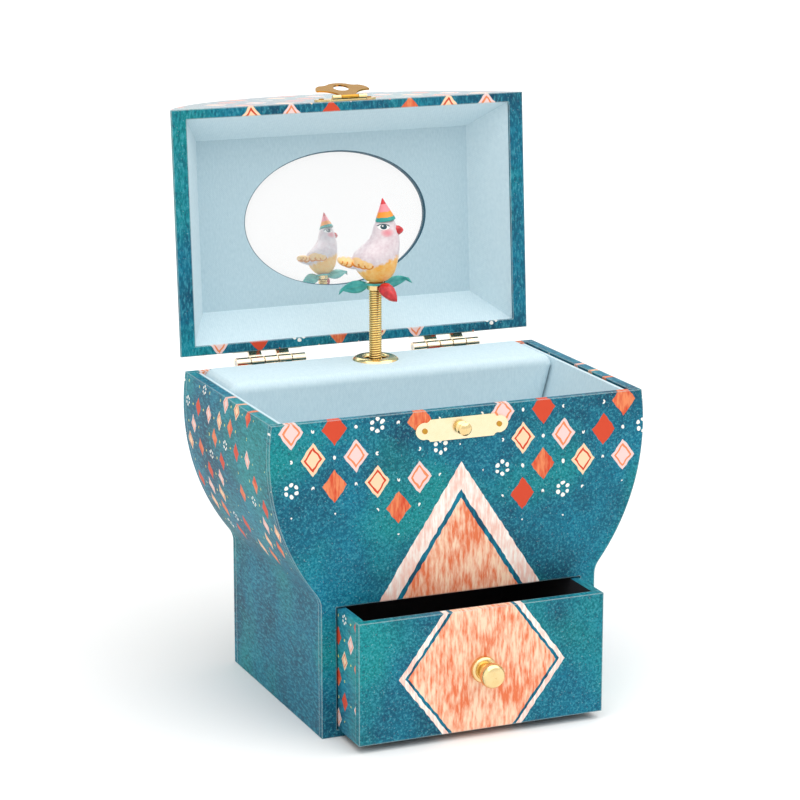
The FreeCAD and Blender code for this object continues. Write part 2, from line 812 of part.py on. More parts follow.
def hinge_leaf(label, place_x, upward):
    body = new_body(label)
    back = "case_depth / 2"
    sign = "+" if upward else "-"
    rim = "lid_base" if upward else "rim_height"
    near = f"{rim} {sign} leaf_drop"
    far = f"{rim} {sign} leaf_drop {sign} leaf_height"
    strip = [
        (back, far),
        (f"{back} + leaf_wall", far),
        (f"{back} + leaf_wall", f"{near} {sign} leaf_wall"),
        ("hinge_y", f"hinge_z {sign} hinge_barrel / 3"),
        ("hinge_y - hinge_barrel / 3", "hinge_z"),
        (back, near)]
    left = f"{place_x} - hinge_width / 2"
    pad(body, "YZ_Plane", left, "hinge_width", strip)
    rod(body, "YZ_Plane", left, "hinge_width", "hinge_y", "hinge_z", "hinge_barrel / 2")
    for number in range(5):
        mine = (number % 2 == 1) == upward
        if mine:
            continue
        start = f"{left} + {number} * knuckle_width - knuckle_gap"
        end = f"{left} + {number + 1} * knuckle_width + knuckle_gap"
        edge = f"{near} {sign} leaf_wall"
        other = f"hinge_z - ({sign}1) * hinge_barrel"
        gap = [(start, edge), (end, edge), (end, other), (start, other)]
        cut_through(body, "XZ_Plane", gap)
    cut_through(body, "YZ_Plane", hole=("hinge_y", "hinge_z", "hinge_pin / 2 + hinge_play"))
    nail_z = lid_leaf_nail_z if upward else case_leaf_nail_z
    for x, z in nail_spots(place_x, "nail_spread / 2", nail_z):
        cut_through(body, "XZ_Plane", hole=(x, z, nail_hole))
    return body


for side, place_x in (("left", "-hinge_place"), ("right", "hinge_place")):
    hinge_leaf(f"{side}_hinge_case_leaf", place_x, False)
    on_lid(hinge_leaf(f"{side}_hinge_lid_leaf", place_x, True))


def hinge_pin(place_x):
    pin_start = f"{place_x} - hinge_width / 2"
    return cylinder(pin_start, "hinge_y", "hinge_z", "hinge_pin / 2", "hinge_width", x_axis)


grouped("hinge_pins", [hinge_pin("-hinge_place"), hinge_pin("hinge_place")])


# Nails: round shanks with flat heads, driven from the outside

def nail(x, z, face, outward, cover):
    inward = -y_axis if outward == "+" else y_axis
    head_y = f"{face} {outward} ({cover} + nail_head_wall)"
    shank = cylinder(x, head_y, z, "nail_width / 2", f"panel_wall + {cover} + nail_head_wall", inward)
    head = cylinder(x, head_y, z, "nail_head / 2", "nail_head_wall", inward)
    return fused(shank, head)


case_nail_spots = [(x, z, "-case_depth / 2", "-", "clasp_wall") for x, z in clasp_nails]
case_nail_spots += [(x, z, "case_depth / 2", "+", "leaf_wall") for x, z in hinge_nails]
grouped("case_nails", [nail(*spot) for spot in case_nail_spots])
lid_nail_spots = [(x, z, "-case_depth / 2", "-", "clasp_wall") for x, z in hasp_nails]
lid_nail_spots += [(x, z, "case_depth / 2", "+", "leaf_wall") for x, z in lid_hinge_nails]
on_lid(grouped("lid_nails", [nail(*spot) for spot in lid_nail_spots]))


# Clasp and hasp

def scalloped(width, height, middle_z):
    tip = f"({width} / 2)"
    root = f"({tip} - clasp_lobe)"
    shoulder = f"({root} - clasp_notch * 1.6)"
    lobe_z = "(clasp_lobe * 0.9)"
    half = f"({height} / 2)"
    right = [
        (shoulder, f"{middle_z} - {half}", "-clasp_notch * 1.2"),
        (root, f"{middle_z} - {lobe_z}", "clasp_lobe"),
        (tip, middle_z, "clasp_lobe"),
        (root, f"{middle_z} + {lobe_z}", "-clasp_notch * 1.2"),
        (shoulder, f"{middle_z} + {half}")]
    left = [
        (f"-{shoulder}", f"{middle_z} + {half}", "-clasp_notch * 1.2"),
        (f"-{root}", f"{middle_z} + {lobe_z}", "clasp_lobe"),
        (f"-{tip}", middle_z, "clasp_lobe"),
        (f"-{root}", f"{middle_z} - {lobe_z}", "-clasp_notch * 1.2"),
        (f"-{shoulder}", f"{middle_z} - {half}")]
    return right + left


board(
    "clasp_plate", "XZ_Plane", "-case_depth / 2 - clasp_wall", "clasp_wall",
    scalloped("clasp_width", "clasp_height", "clasp_z"),
    holes=[(x, z, nail_hole) for x, z in clasp_nails] + [("0", "clasp_z", "stud_neck / 2")])
stud = turned("clasp_stud", [
    ("0", "-panel_wall"),
    ("stud_neck / 2", "-panel_wall"),
    ("stud_neck / 2", "clasp_wall"),
    ("stud_head / 2", "clasp_wall", "-stud_head / 2"),
    ("stud_neck / 2", "stud_length * 0.5", "-stud_head / 4"),
    ("stud_head / 2", "stud_length * 0.8", dome("stud_head / 2", "stud_length * 0.2")),
    ("0", "stud_length")])
stud.Placement.Rotation = along_minus_y
place(stud, y="-case_depth / 2", z="clasp_z")


def hasp_knuckles(body, left, width, strip):
    pad(body, "YZ_Plane", left, width, strip)
    rod(body, "YZ_Plane", left, width, "hasp_y", "hasp_z", "hasp_barrel / 2")


def make_hasp_plate():
    body = new_body("hasp_plate")
    face = "-case_depth / 2"
    middle = "(hasp_z + hasp_plate_height / 2 + hasp_barrel / 2)"
    pad(body, "XZ_Plane", f"{face} - clasp_wall", "clasp_wall",
        scalloped("hasp_plate_width", "hasp_plate_height", middle),
        holes=[(x, z, nail_hole) for x, z in hasp_nails])
    arm = [
        (f"{face} - clasp_wall", "hasp_z + hasp_barrel / 2"),
        ("hasp_y", "hasp_z"),
        ("hasp_y", "hasp_z + hasp_barrel / 2"),
        (f"{face} - clasp_wall", "hasp_z + hasp_barrel")]
    inner = "hasp_knuckle / 2 + knuckle_gap"
    for left in (inner, f"-({inner}) - hasp_knuckle / 2"):
        hasp_knuckles(body, left, "hasp_knuckle / 2", arm)
    cut_through(body, "YZ_Plane", hole=("hasp_y", "hasp_z", "hasp_pin / 2 + hinge_play"))
    return on_lid(body)


def make_hasp_leaf():
    body = new_body("hasp_leaf")
    drop = "hasp_z - hasp_reach"
    end = f"({drop} - hasp_tail)"
    half = "hasp_width / 2"
    neck = "hasp_knuckle / 2"
    shoulder = "(hasp_z - hasp_barrel)"
    outline = [
        (f"-{neck}", "hasp_z"),
        (f"-{neck}", shoulder, "-hasp_reach * 0.8"),
        (f"-{half}", f"{drop} + hasp_tail * 0.5", "hasp_tail"),
        (f"-{half} * 0.72", f"{drop} - hasp_tail * 0.6", "-hasp_tail"),
        (f"-{half} * 0.36", f"{end} + hasp_tail * 0.1", "hasp_tail * 1.6"),
        (f"{half} * 0.36", f"{end} + hasp_tail * 0.1", "-hasp_tail"),
        (f"{half} * 0.72", f"{drop} - hasp_tail * 0.6", "hasp_tail"),
        (half, f"{drop} + hasp_tail * 0.5", "-hasp_reach * 0.8"),
        (neck, shoulder),
        (neck, "hasp_z")]
    pad(body, "XZ_Plane", "hasp_y - hasp_wall / 2", "hasp_wall", outline,
        holes=[("0", drop, "hasp_hole / 2")])
    rod(body, "YZ_Plane", "-hasp_knuckle / 2", "hasp_knuckle", "hasp_y", "hasp_z", "hasp_barrel / 2")
    cut_through(body, "YZ_Plane", hole=("hasp_y", "hasp_z", "hasp_pin / 2 + hinge_play"))
    body.Placement = hasp_pose
    return body


make_hasp_plate()
make_hasp_leaf()


def hasp_pin():
    half = "(hasp_knuckle + knuckle_gap)"
    return cylinder(f"-{half}", "hasp_y", "hasp_z", "hasp_pin / 2", f"2 * {half}", x_axis)


on_lid(grouped("hasp_pin", [hasp_pin()]))


# Movement: bedplate on the back panel with its lugs and comb ledge

def make_bedplate():
    body = new_body("movement_bedplate")
    high = "worm_wheel_low + worm_wheel_wall"
    pad(body, "XZ_Plane", "bed_front", "bed_wall",
        rectangle("-bed_left", "bed_low", "bed_right", high),
        holes=[("0", "arbor_z", "arbor_width / 2 + spindle_play")]
        + [(x, z, screw_hole) for x, z in bed_screws])
    ledge_right = "-drum_width / 2 - comb_length + ledge_width"
    ledge_y = "stem_y + comb_wall / 2"
    pad(body, "XZ_Plane", ledge_y, f"bed_front - {ledge_y}".replace("- stem_y +", "- stem_y -"),
        rectangle(f"{ledge_right} - ledge_width", "drum_low", ledge_right, "drum_high"))
    lugs = [
        ("0", "pinion_z - pinion_face / 2 - drum_space / 4 - lug_wall", "spindle_width", "lug_reach"),
        ("0", "lug_low", "spindle_width", "lug_reach"),
        ("train_x", "lug_low", "spindle_width", "lug_reach"),
        ("train_x", "wheel_low - drum_space / 4 - lug_wall", "spindle_width", "(lug_reach - pin_height)")]
    for x, low, hole_width, reach in lugs:
        half = f"({hole_width} / 2 + {reach} / 2)"
        lug = rectangle(f"{x} - {half}", f"stem_y - {half}", f"{x} + {half}", "bed_front")
        pad(body, "XY_Plane", low, "lug_wall", lug, holes=[(x, "stem_y", f"{hole_width} / 2 + spindle_play")])
    return body


make_bedplate()


def make_comb():
    body = new_body("comb")
    tip = "-drum_width / 2 - pin_height - comb_gap"
    end = "-drum_width / 2 - comb_length"
    row = "drum_length / drum_rows"
    pad(body, "XZ_Plane", "stem_y - comb_wall / 2", "comb_wall",
        rectangle(end, "drum_low", tip, "drum_high"),
        holes=[(x, z, screw_hole) for x, z in comb_screw_spots])
    slot = rectangle(
        f"{tip} - comb_tooth_length", f"drum_low + {row} - comb_slot / 2",
        f"{tip} + comb_gap", f"drum_low + {row} + comb_slot / 2")
    first = cut_through(body, "XZ_Plane", slot)
    pattern = body.newObject("PartDesign::LinearPattern", "slots")
    pattern.Originals = [first]
    pattern.Direction = (next(item for item in body.Origin.OriginFeatures if item.Role == "Z_Axis"), [""])
    bind(pattern, Length="drum_length * (drum_rows - 2) / drum_rows", Occurrences="drum_rows - 1")
    body.Tip = pattern
    return body


comb_screw_x = "-drum_width / 2 - comb_length + ledge_width / 2"
comb_screw_spots = [
    (comb_screw_x, "drum_low + screw_head"),
    (comb_screw_x, "drum_high - screw_head")]
make_comb()


def flat_screw(x, z, seat, grip):
    head_y = f"{seat} - screw_head_length"
    shank = cylinder(x, head_y, z, "screw_width / 2", f"screw_head_length + {grip}", y_axis)
    head = cylinder(x, head_y, z, "screw_head / 2", "screw_head_length", y_axis)
    return fused(shank, head)


grouped(
    "movement_screws",
    [flat_screw(x, z, "bed_front", "bed_wall") for x, z in bed_screws]
    + [flat_screw(x, z, "stem_y - comb_wall / 2", "comb_wall") for x, z in comb_screw_spots])


def toothed(body, level, wall, teeth, radius, depth, bore=None):
    pitch = f"(2 * pi * {radius} / {teeth})"
    root = f"({radius} - {depth} / 2 - tooth_play / 4)"
    tip = f"({radius} + {depth} / 2)"
    sketch = sketch_on(body, "XY_Plane", level)
    ring(sketch, "0", "0", root)
    if bore:
        ring(sketch, "0", "0", bore)
    raise_pad(body, sketch, "XY_Plane", wall)
    root_half = f"({pitch} / 3 - tooth_play / 4)"
    tip_half = f"({pitch} / 6 - tooth_play / 4)"
    tooth = pad(body, "XY_Plane", level, wall, [
        (f"{root} * 0.96", f"-{root_half}"),
        (tip, f"-{tip_half}"),
        (tip, tip_half),
        (f"{root} * 0.96", root_half)])
    doc.recompute()
    repeat_round(body, tooth, teeth)
    doc.recompute()


def make_spindle():
    body = new_body("cylinder_spindle")
    low = "pinion_z - pinion_face / 2"
    depth = "crown_tip * 2"
    toothed(body, low, "pinion_face", "pinion_teeth", "pinion_radius", depth)
    bottom = f"({low} - drum_space / 4 - lug_wall)"
    rod(body, "XY_Plane", bottom, f"collar_top - {bottom}", "0", "0", "spindle_width / 2")
    rod(body, "XY_Plane", "collar_top - lug_wall", "lug_wall", "0", "0", "spindle_collar / 2")
    rod(body, "XY_Plane", "collar_top", "leg_length + coil_wire * 2", "0", "0",
        "coil_radius - coil_wire / 2 - stem_clear")
    half_tooth = 180 / value("pinion_teeth")
    body.Placement.Rotation = FreeCAD.Rotation(z_axis, half_tooth)
    place(body, y="stem_y")
    return body


make_spindle()
wheel = new_body("cylinder_wheel")
toothed(
    wheel, "wheel_low", "wheel_wall", "wheel_teeth", "wheel_radius", "crown_tip * 1.5", "spindle_width / 2")
place(wheel, y="stem_y")


def make_drum():
    shell = doc.addObject("Part::Cylinder", "drum")
    bind(shell, Radius="drum_width / 2", Height="drum_length")
    bore = doc.addObject("Part::Cylinder", "drum_bore")
    bind(bore, Radius="spindle_width / 2", Height="drum_length")
    pins = [shell]
    rows = int(value("drum_rows"))
    golden_angle = 137.5
    for row in range(rows):
        for number in range(int(value("row_pins"))):
            angle = row * golden_angle + number * golden_angle / 1.3
            pin = doc.addObject("Part::Box", "pin")
            bind(pin, Length="pin_height * 2", Width="pin_width", Height="pin_width")
            lift = f"drum_length / drum_rows * ({row} + 1 / 2) - pin_width / 2"
            turn = FreeCAD.Rotation(z_axis, angle)
            reach = turn.multVec(vector(value("drum_width / 2 - pin_height"), -value("pin_width / 2"), 0))
            pin.Placement = FreeCAD.Placement(reach, turn)
            bind(pin, Placement__Base__z=lift)
            pins.append(pin)
    drum = doc.addObject("Part::Cut", "pinned_cylinder")
    drum.Base = fused(*pins)
    drum.Tool = bore
    keep("pinned_cylinder", drum)
    place(drum, y="stem_y", z="drum_low")


make_drum()


# Spring barrel with a crown of face teeth, on the winding arbor

def make_barrel():
    body = new_body("spring_barrel")
    rim = "(barrel_width / 2)"
    crown_low = "-crown_root"
    spin(body, [
        ("arbor_width / 2 + spindle_play", "-barrel_length"),
        (f"{rim} - drum_space", "-barrel_length"),
        (rim, "drum_space - barrel_length"),
        (rim, f"{crown_low} - crown_face"),
        ("crown_radius + crown_face / 2", crown_low),
        ("crown_radius - crown_face / 2", crown_low),
        ("crown_radius - crown_face", f"{crown_low} - crown_face"),
        ("arbor_width", f"{crown_low} - crown_face"),
        ("arbor_width", crown_low),
        ("arbor_width / 2 + spindle_play", crown_low)])
    root_half = "(crown_pitch / 3.4 - tooth_play / 4)"
    tip_half = "(crown_pitch / 6 - tooth_play / 4)"
    tooth = pad(body, "XZ_Plane", "-crown_radius - crown_face / 2", "crown_face", [
        (f"-{root_half}", f"{crown_low} - crown_tip / 2"),
        (root_half, f"{crown_low} - crown_tip / 2"),
        (tip_half, "crown_tip"),
        (f"-{tip_half}", "crown_tip")])
    doc.recompute()
    repeat_round(body, tooth, "crown_teeth")
    body.Placement.Rotation = along_y
    place(body, y="crown_y", z="arbor_z")
    return body


make_barrel()
arbor_flange = "(crown_y - barrel_length)"
key_start = "(case_depth / 2 + key_stand)"
arbor = turned("winding_arbor", [
    ("0", f"{arbor_flange} - lug_wall"),
    ("arbor_width", f"{arbor_flange} - lug_wall"),
    ("arbor_width", f"{arbor_flange} - stem_clear"),
    ("arbor_width / 2", f"{arbor_flange} - stem_clear"),
    ("arbor_width / 2", f"{key_start} + key_hub_length"),
    ("0", f"{key_start} + key_hub_length")])
arbor.Placement.Rotation = along_y
place(arbor, z="arbor_z")


def make_key():
    body = new_body("winding_key")
    wing = "key_wing"
    half = "key_wall / 2"
    low = "key_hub_length * 0.6"
    spin(body, [
        ("arbor_width / 2", "0"),
        ("key_hub / 2", "0"),
        ("key_hub / 2", "key_hub_length"),
        ("key_hub / 3", "key_hub_length + key_wall"),
        ("0", "key_hub_length + key_wall"),
        ("0", "key_hub_length"),
        ("arbor_width / 2", "key_hub_length")])
    pad(body, "XZ_Plane", f"-{half}", "key_wall", [
        ("arbor_width / 2", low),
        (wing + " * 0.7", low, "key_length * 0.45"),
        (wing, "key_length * 0.7", "key_length * 0.3"),
        (wing + " * 0.62", "key_length", "key_wing"),
        ("arbor_width / 2", "key_length * 0.72")])
    pad(body, "XZ_Plane", f"-{half}", "key_wall", flipped([
        ("arbor_width / 2", low),
        (wing + " * 0.7", low, "key_length * 0.45"),
        (wing, "key_length * 0.7", "key_length * 0.3"),
        (wing + " * 0.62", "key_length", "key_wing"),
        ("arbor_width / 2", "key_length * 0.72")]))
    body.Placement.Rotation = along_y
    place(body, y=key_start, z="arbor_z")


make_key()


# Governor: a wheel and pinion drive a worm with an air brake

train = new_body("governor_pinion")
toothed(train, "wheel_low", "wheel_wall", "leaf_teeth", "leaf_radius", "crown_tip * 1.5")
train_low = "(wheel_low - drum_space / 4 - lug_wall)"
train_length = f"worm_wheel_low + worm_wheel_wall - {train_low}"
rod(train, "XY_Plane", train_low, train_length, "0", "0", "spindle_width / 2")
train.Placement.Rotation = FreeCAD.Rotation(z_axis, 180 / value("leaf_teeth"))
place(train, x="train_x", y="stem_y")
worm_wheel = new_body("governor_wheel")
toothed(
    worm_wheel, "worm_wheel_low", "worm_wheel_wall", "worm_teeth", "worm_wheel_radius",
    "worm_wire * 3 / 4", "spindle_width / 2")
place(worm_wheel, x="train_x", y="stem_y")


def arc_between(start, corner, end):
    half_chord = (end - start).Length / 2
    weight = half_chord / (corner - start).Length
    middle = (start + corner * (2 * weight) + end) * (1 / (2 + 2 * weight))
    return Part.Arc(start, middle, end).toShape()


def helix_arcs(radius, pitch, turns, phase):
    def spot(turn):
        angle = phase + turn * 2 * math.pi
        return vector(radius * math.cos(angle), radius * math.sin(angle), pitch * turn)

    def heading(turn):
        angle = phase + turn * 2 * math.pi
        rise = pitch / (2 * math.pi)
        return vector(-radius * math.sin(angle), radius * math.cos(angle), rise).normalize()

    edges = []
    for half_turn in range(int(round(turns * 2))):
        begin = half_turn / 2
        start, end = spot(begin), spot(begin + 0.5)
        out, into = heading(begin), heading(begin + 0.5)
        span = end - start
        bend = 2 * out.dot(into) - 2
        slope = -2 * span.dot(out + into)
        reach = (-slope - math.sqrt(slope ** 2 - 4 * bend * span.dot(span))) / (2 * bend)
        near, far = start + out * reach, end - into * reach
        middle = (near + far) * 0.5
        edges.append(arc_between(start, near, middle))
        edges.append(arc_between(middle, far, end))
    return edges, (spot(0), heading(0)), (spot(turns), heading(turns))


def round_tube(edges, radius):
    first = edges[0]
    start = first.valueAt(first.FirstParameter)
    direction = first.tangentAt(first.FirstParameter)
    section = Part.Wire(Part.Circle(start, direction, radius).toShape())
    tube = Part.Wire(edges).makePipeShell([section], True, False)
    length = sum(edge.Length for edge in edges)
    full = math.pi * radius ** 2 * length
    print(f"tube volume {tube.Volume:.2f}, section times length {full:.2f}")
    return tube


def least_gap(edges, wire, apart):
    points = [point for edge in edges for point in edge.discretize(Number=13)[:-1]]
    step = sum(edge.Length for edge in edges) / len(points)
    skip = int(apart / step)
    least = min(
        one.distanceToPoint(two)
        for number, one in enumerate(points) for two in points[number + skip::2])
    return least - wire


def make_worm():
    radius = value("worm_radius")
    wire = value("worm_wire")
    # Half a turn of phase sets the thread between two teeth of the wheel.
    edges, _, _ = helix_arcs(radius - wire / 4, value("worm_pitch"), value("worm_turns"), math.pi)
    thread = round_tube(edges, wire / 2)
    half_length = value("worm_pitch * worm_turns / 2")
    thread.translate(vector(0, 0, -half_length))
    front = value("stem_y - brake_end + bracket_wall * 2 + brake_length")
    back = value("bed_front - stem_y - stem_clear")
    shaft = Part.makeCylinder(value("worm_shaft") / 2, front + back, vector(0, 0, -front))
    worm = doc.addObject("Part::Feature", "governor_worm")
    worm.Shape = shaft.fuse(thread).removeSplitter()
    keep("governor_worm", worm)
    spot = vector(value("worm_x"), value("stem_y"), value("worm_z"))
    worm.Placement = FreeCAD.Placement(spot, along_y)


make_worm()


def make_brake():
    body = new_body("air_brake")
    shaft = "worm_shaft / 2"
    spin(body, [
        (shaft, "0"),
        (f"{shaft} * 1.8", "0"),
        (f"{shaft} * 1.8", "brake_length"),
        (shaft, "brake_length")])
    blade = rectangle(f"{shaft} * 1.5", "0", "brake_radius", "brake_length")
    pad(body, "XZ_Plane", "-brake_wall / 2", "brake_wall", blade)
    pad(body, "XZ_Plane", "-brake_wall / 2", "brake_wall", flipped(blade))
    body.Placement.Rotation = along_y
    place(body, x="worm_x", y="brake_end - bracket_wall * 2 - brake_length", z="worm_z")


make_brake()


def make_bracket():
    body = new_body("governor_bracket")
    inner = "worm_x + worm_radius + worm_wire"
    outer = f"{inner} + bracket_wall"
    low = "worm_z - worm_radius * 1.6"
    tall = "worm_radius * 3.2"
    pad(body, "XY_Plane", low, tall, rectangle(inner, "brake_end - bracket_wall", outer, "bed_front"))
    arm_left = "worm_x - worm_radius"
    arms = ("brake_end - bracket_wall", "stem_y + worm_wheel_radius + worm_wire")
    for front in arms:
        pad(body, "XY_Plane", low, tall, rectangle(arm_left, front, outer, f"{front} + bracket_wall"))
    cut_through(body, "XZ_Plane", hole=("worm_x", "worm_z", "worm_shaft / 2 + spindle_play"))


make_bracket()


# Coil stem: one unbroken wire with a short upright leg at each end

def make_coil():
    wire = value("coil_wire")
    pitch = value("coil_pitch")
    edges, bottom, top = helix_arcs(value("coil_radius"), pitch, value("coil_turns"), 0)
    spot, heading = bottom
    turn = math.acos(heading.z)
    reach = value("coil_bend") * math.tan(turn / 2)
    corner = spot - heading * reach
    foot = corner - z_axis * reach
    leg = Part.LineSegment(foot - z_axis * wire, foot).toShape()
    edges = [leg, arc_between(foot, corner, spot)] + edges
    spot, heading = top
    corner = spot + heading * reach
    peak = corner + z_axis * reach
    edges += [arc_between(spot, corner, peak), Part.LineSegment(peak, peak + z_axis * wire).toShape()]
    coil = doc.addObject("Part::Feature", "stem_spring")
    coil.Shape = round_tube(edges, wire / 2)
    keep("stem_spring", coil)
    coil.Placement.Base = vector(0, value("stem_y"), value("coil_low"))
    one_turn = 2 * math.pi * value("coil_radius")
    print(f"coil least gap to itself {least_gap(edges, wire, one_turn * 0.6):.3f} mm")


make_coil()


# Figure: socket, leaves and bud under a seated bird

def on_figure(thing):
    thing.Placement = figure_pose.multiply(thing.Placement)
    return thing


on_figure(turned("stem_socket", [
    ("socket_inner", "socket_low"),
    ("socket_inner + socket_wall", "socket_low"),
    ("socket_inner + socket_wall", "socket_top"),
    ("0", "socket_top"),
    ("0", "socket_top - socket_wall"),
    ("socket_inner", "socket_top - socket_wall")]))


def make_leaves():
    ring_inner = "socket_inner + socket_wall"
    ring_piece = doc.addObject("Part::Cylinder", "leaf_ring")
    bind(ring_piece, Radius=f"{ring_inner} + collar_ring", Height="collar_wall")
    ring_low = "socket_top - collar_wall"
    place(ring_piece, z=ring_low)
    leaves = [ring_piece]
    for name in ("back_leaf", "front_leaf"):
        outline = sketch_leaf(f"{name}_long")
        turn = FreeCAD.Rotation(z_axis, value(f"{name}_turn"))
        droop = FreeCAD.Rotation(y_axis, value(f"{name}_droop"))
        root = turn.multVec(vector(value(ring_inner), 0, value(ring_low)))
        outline.Placement = FreeCAD.Placement(root, turn.multiply(droop))
        leaves.append(outline)
    bore = doc.addObject("Part::Cylinder", "leaf_bore")
    bind(bore, Radius=ring_inner, Height="socket_cover * 4")
    place(bore, z="socket_low - socket_cover * 2")
    collar = doc.addObject("Part::Cut", "leaf_collar")
    collar.Base = fused(*leaves)
    collar.Tool = bore
    on_figure(keep("leaf_collar", collar))


def sketch_leaf(length):
    body = doc.addObject("PartDesign::Body", "leaf")
    bow = dome(f"{length} / 2", "leaf_wide / 2")
    pad(body, "XY_Plane", "0", "collar_wall * 0.8", [("0", "0", bow), (length, "0", bow)])
    return body


make_leaves()


def make_bud():
    bud = doc.addObject("PartDesign::Body", "bud")
    spin(bud, [
        ("0", "0"),
        ("bud_width * 0.3", "0"),
        ("bud_width * 0.46", "bud_length * 0.16"),
        ("bud_width * 0.5", "bud_length * 0.36"),
        ("bud_width * 0.42", "bud_length * 0.6"),
        ("bud_width * 0.24", "bud_length * 0.84"),
        ("0", "bud_length")])
    turn = FreeCAD.Rotation(z_axis, value("bud_turn"))
    tilt = FreeCAD.Rotation(z_axis, vector(1, 0, -math.tan(math.radians(value("bud_droop")))))
    root = turn.multVec(vector(value("socket_inner + socket_wall - bud_sink"), 0, value("socket_low")))
    bud.Placement = FreeCAD.Placement(root, turn.multiply(tilt))
    # The foot of the bud is hollowed to sit on the round of the socket.
    round_half = "socket_inner + socket_wall"
    seat = cylinder("0", "0", "socket_low - bud_length", round_half, "bud_length * 2", z_axis)
    seated = doc.addObject("Part::Cut", "flower_bud")
    seated.Base = bud
    seated.Tool = seat
    on_figure(keep("flower_bud", seated))


make_bud()


def ellipse(x, z, half, other_half, turn=FreeCAD.Rotation()):
    curve = doc.addObject("Part::Ellipse", "station")
    bind(curve, MajorRadius=half, MinorRadius=other_half)
    curve.Placement.Rotation = turn
    place(curve, x=x, z=z)
    return curve


def lofted(stations):
    loft = doc.addObject("Part::Loft", "loft")
    loft.Sections = stations
    loft.Solid = True
    return loft


def make_bird():
    stations = [
        ("0", "0", "seat_half"),
        ("0", "belly_rise * 0.4", "belly_half * 0.86"),
        ("0", "belly_rise", "belly_half"),
        ("head_forward * 0.25", "breast_rise", "breast_half"),
        ("head_forward * 0.9", "neck_rise", "neck_half"),
        ("head_forward", "head_rise", "head_half"),
        ("head_forward", "brow_rise", "brow_half")]
    trunk = lofted([
        ellipse(x, f"socket_top + {rise}", half, f"{half} * bird_slim") for x, rise, half in stations])
    # Tail stations stand across the length, with the long way of each ellipse from side to side.
    across = FreeCAD.Rotation(y_axis, z_axis, x_axis, "XYZ")
    tail_stations = [("0.35", "0.7"), ("0.68", "1"), ("0.9", "0.8"), ("1", "0.3")]
    tail = lofted([
        ellipse(f"-tail_length * {reach}", "socket_top + tail_rise", f"tail_width / 2 * {swell}",
                f"tail_height / 2 * {swell}", across) for reach, swell in tail_stations])
    socket = cylinder("beak_start", "0", "socket_top + head_rise", "beak_width / 2 + nail_play",
                      "beak_length", x_axis)
    bird = doc.addObject("Part::Cut", "bird_body")
    bird.Base = fused(trunk, tail)
    bird.Tool = socket
    on_figure(keep("bird_body", bird))


make_bird()
hat = turned("bird_hat", [
    ("0", "0"),
    ("hat_width / 2", "0"),
    ("hat_width * 0.04", "hat_height"),
    ("0", "hat_height")])
hat.Placement.Base = vector(value("head_forward"), 0, value("socket_top + brow_rise"))
on_figure(hat)
beak = turned("bird_beak", [
    ("0", "0"),
    ("beak_width / 2", "0"),
    ("beak_width / 2", "beak_sink"),
    ("0", "beak_length")])
beak.Placement = FreeCAD.Placement(
    vector(value("beak_start"), 0, value("socket_top + head_rise")), FreeCAD.Rotation(z_axis, x_axis))
on_figure(beak)


# Check every object, then write one file for each sub-part

doc.recompute()
for thing in doc.Objects:
    failed = {"Invalid", "Error"} & set(thing.State)
    if failed:
        raise SystemExit(f"{thing.Label} ({thing.TypeId}) is {failed}")
for label, thing in parts.items():
    shape = thing.Shape
    if shape.isNull() or not shape.isValid() or not shape.Solids:
        raise SystemExit(f"{label} has no valid solid")

os.makedirs("parts", exist_ok=True)
for label, thing in parts.items():
    thing.Shape.exportStep(f"parts/{label}.step")
print(f"{len(parts)} sub-parts written")
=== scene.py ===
import math
import bmesh
import bpy
from mathutils import Matrix, Vector


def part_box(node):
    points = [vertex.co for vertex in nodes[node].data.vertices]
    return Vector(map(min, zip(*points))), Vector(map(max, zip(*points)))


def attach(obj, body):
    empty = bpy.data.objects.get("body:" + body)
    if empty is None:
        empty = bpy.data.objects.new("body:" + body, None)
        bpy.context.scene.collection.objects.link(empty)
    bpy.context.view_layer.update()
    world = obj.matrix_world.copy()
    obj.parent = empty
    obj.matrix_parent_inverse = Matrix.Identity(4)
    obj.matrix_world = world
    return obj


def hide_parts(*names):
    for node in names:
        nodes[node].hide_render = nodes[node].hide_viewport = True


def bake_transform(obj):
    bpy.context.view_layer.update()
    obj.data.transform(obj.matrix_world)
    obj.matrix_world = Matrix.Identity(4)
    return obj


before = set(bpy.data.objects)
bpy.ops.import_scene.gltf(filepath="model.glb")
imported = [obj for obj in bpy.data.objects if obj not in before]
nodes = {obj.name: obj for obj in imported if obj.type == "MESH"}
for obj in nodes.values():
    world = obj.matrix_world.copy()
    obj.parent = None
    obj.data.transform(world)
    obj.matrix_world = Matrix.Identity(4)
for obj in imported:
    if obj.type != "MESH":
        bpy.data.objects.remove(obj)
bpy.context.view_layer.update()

mm = 0.001
print("frame loaded:", len(nodes), "nodes")

# Where the moving pieces rest, as the frame has them
rest = {
    "hingeY": 56.1, "hingeZ": 130.25, "lidOpen": 94.0,
    "stemY": 37.5, "figureTurn": -20.0, "seatZ": 164.35}
figureTurn = Matrix.Rotation(math.radians(rest["figureTurn"]), 4, "Z")
figureMatrix = Matrix.Translation((0, rest["stemY"] * mm, 0)) @ figureTurn


def linearColour(text):
    channels = [int(text[start:start + 2], 16) / 255 for start in (1, 3, 5)]
    return [c / 12.92 if c <= 0.04045 else ((c + 0.055) / 1.055) ** 2.4 for c in channels] + [1.0]


def addNode(tree, kind, inputs=None, **settings):
    node = tree.nodes.new(kind)
    for name, setting in settings.items():
        setattr(node, name, setting)
    for socket, source in (inputs or {}).items():
        if isinstance(source, bpy.types.NodeSocket):
            tree.links.new(source, node.inputs[socket])
        else:
            node.inputs[socket].default_value = source
    return node


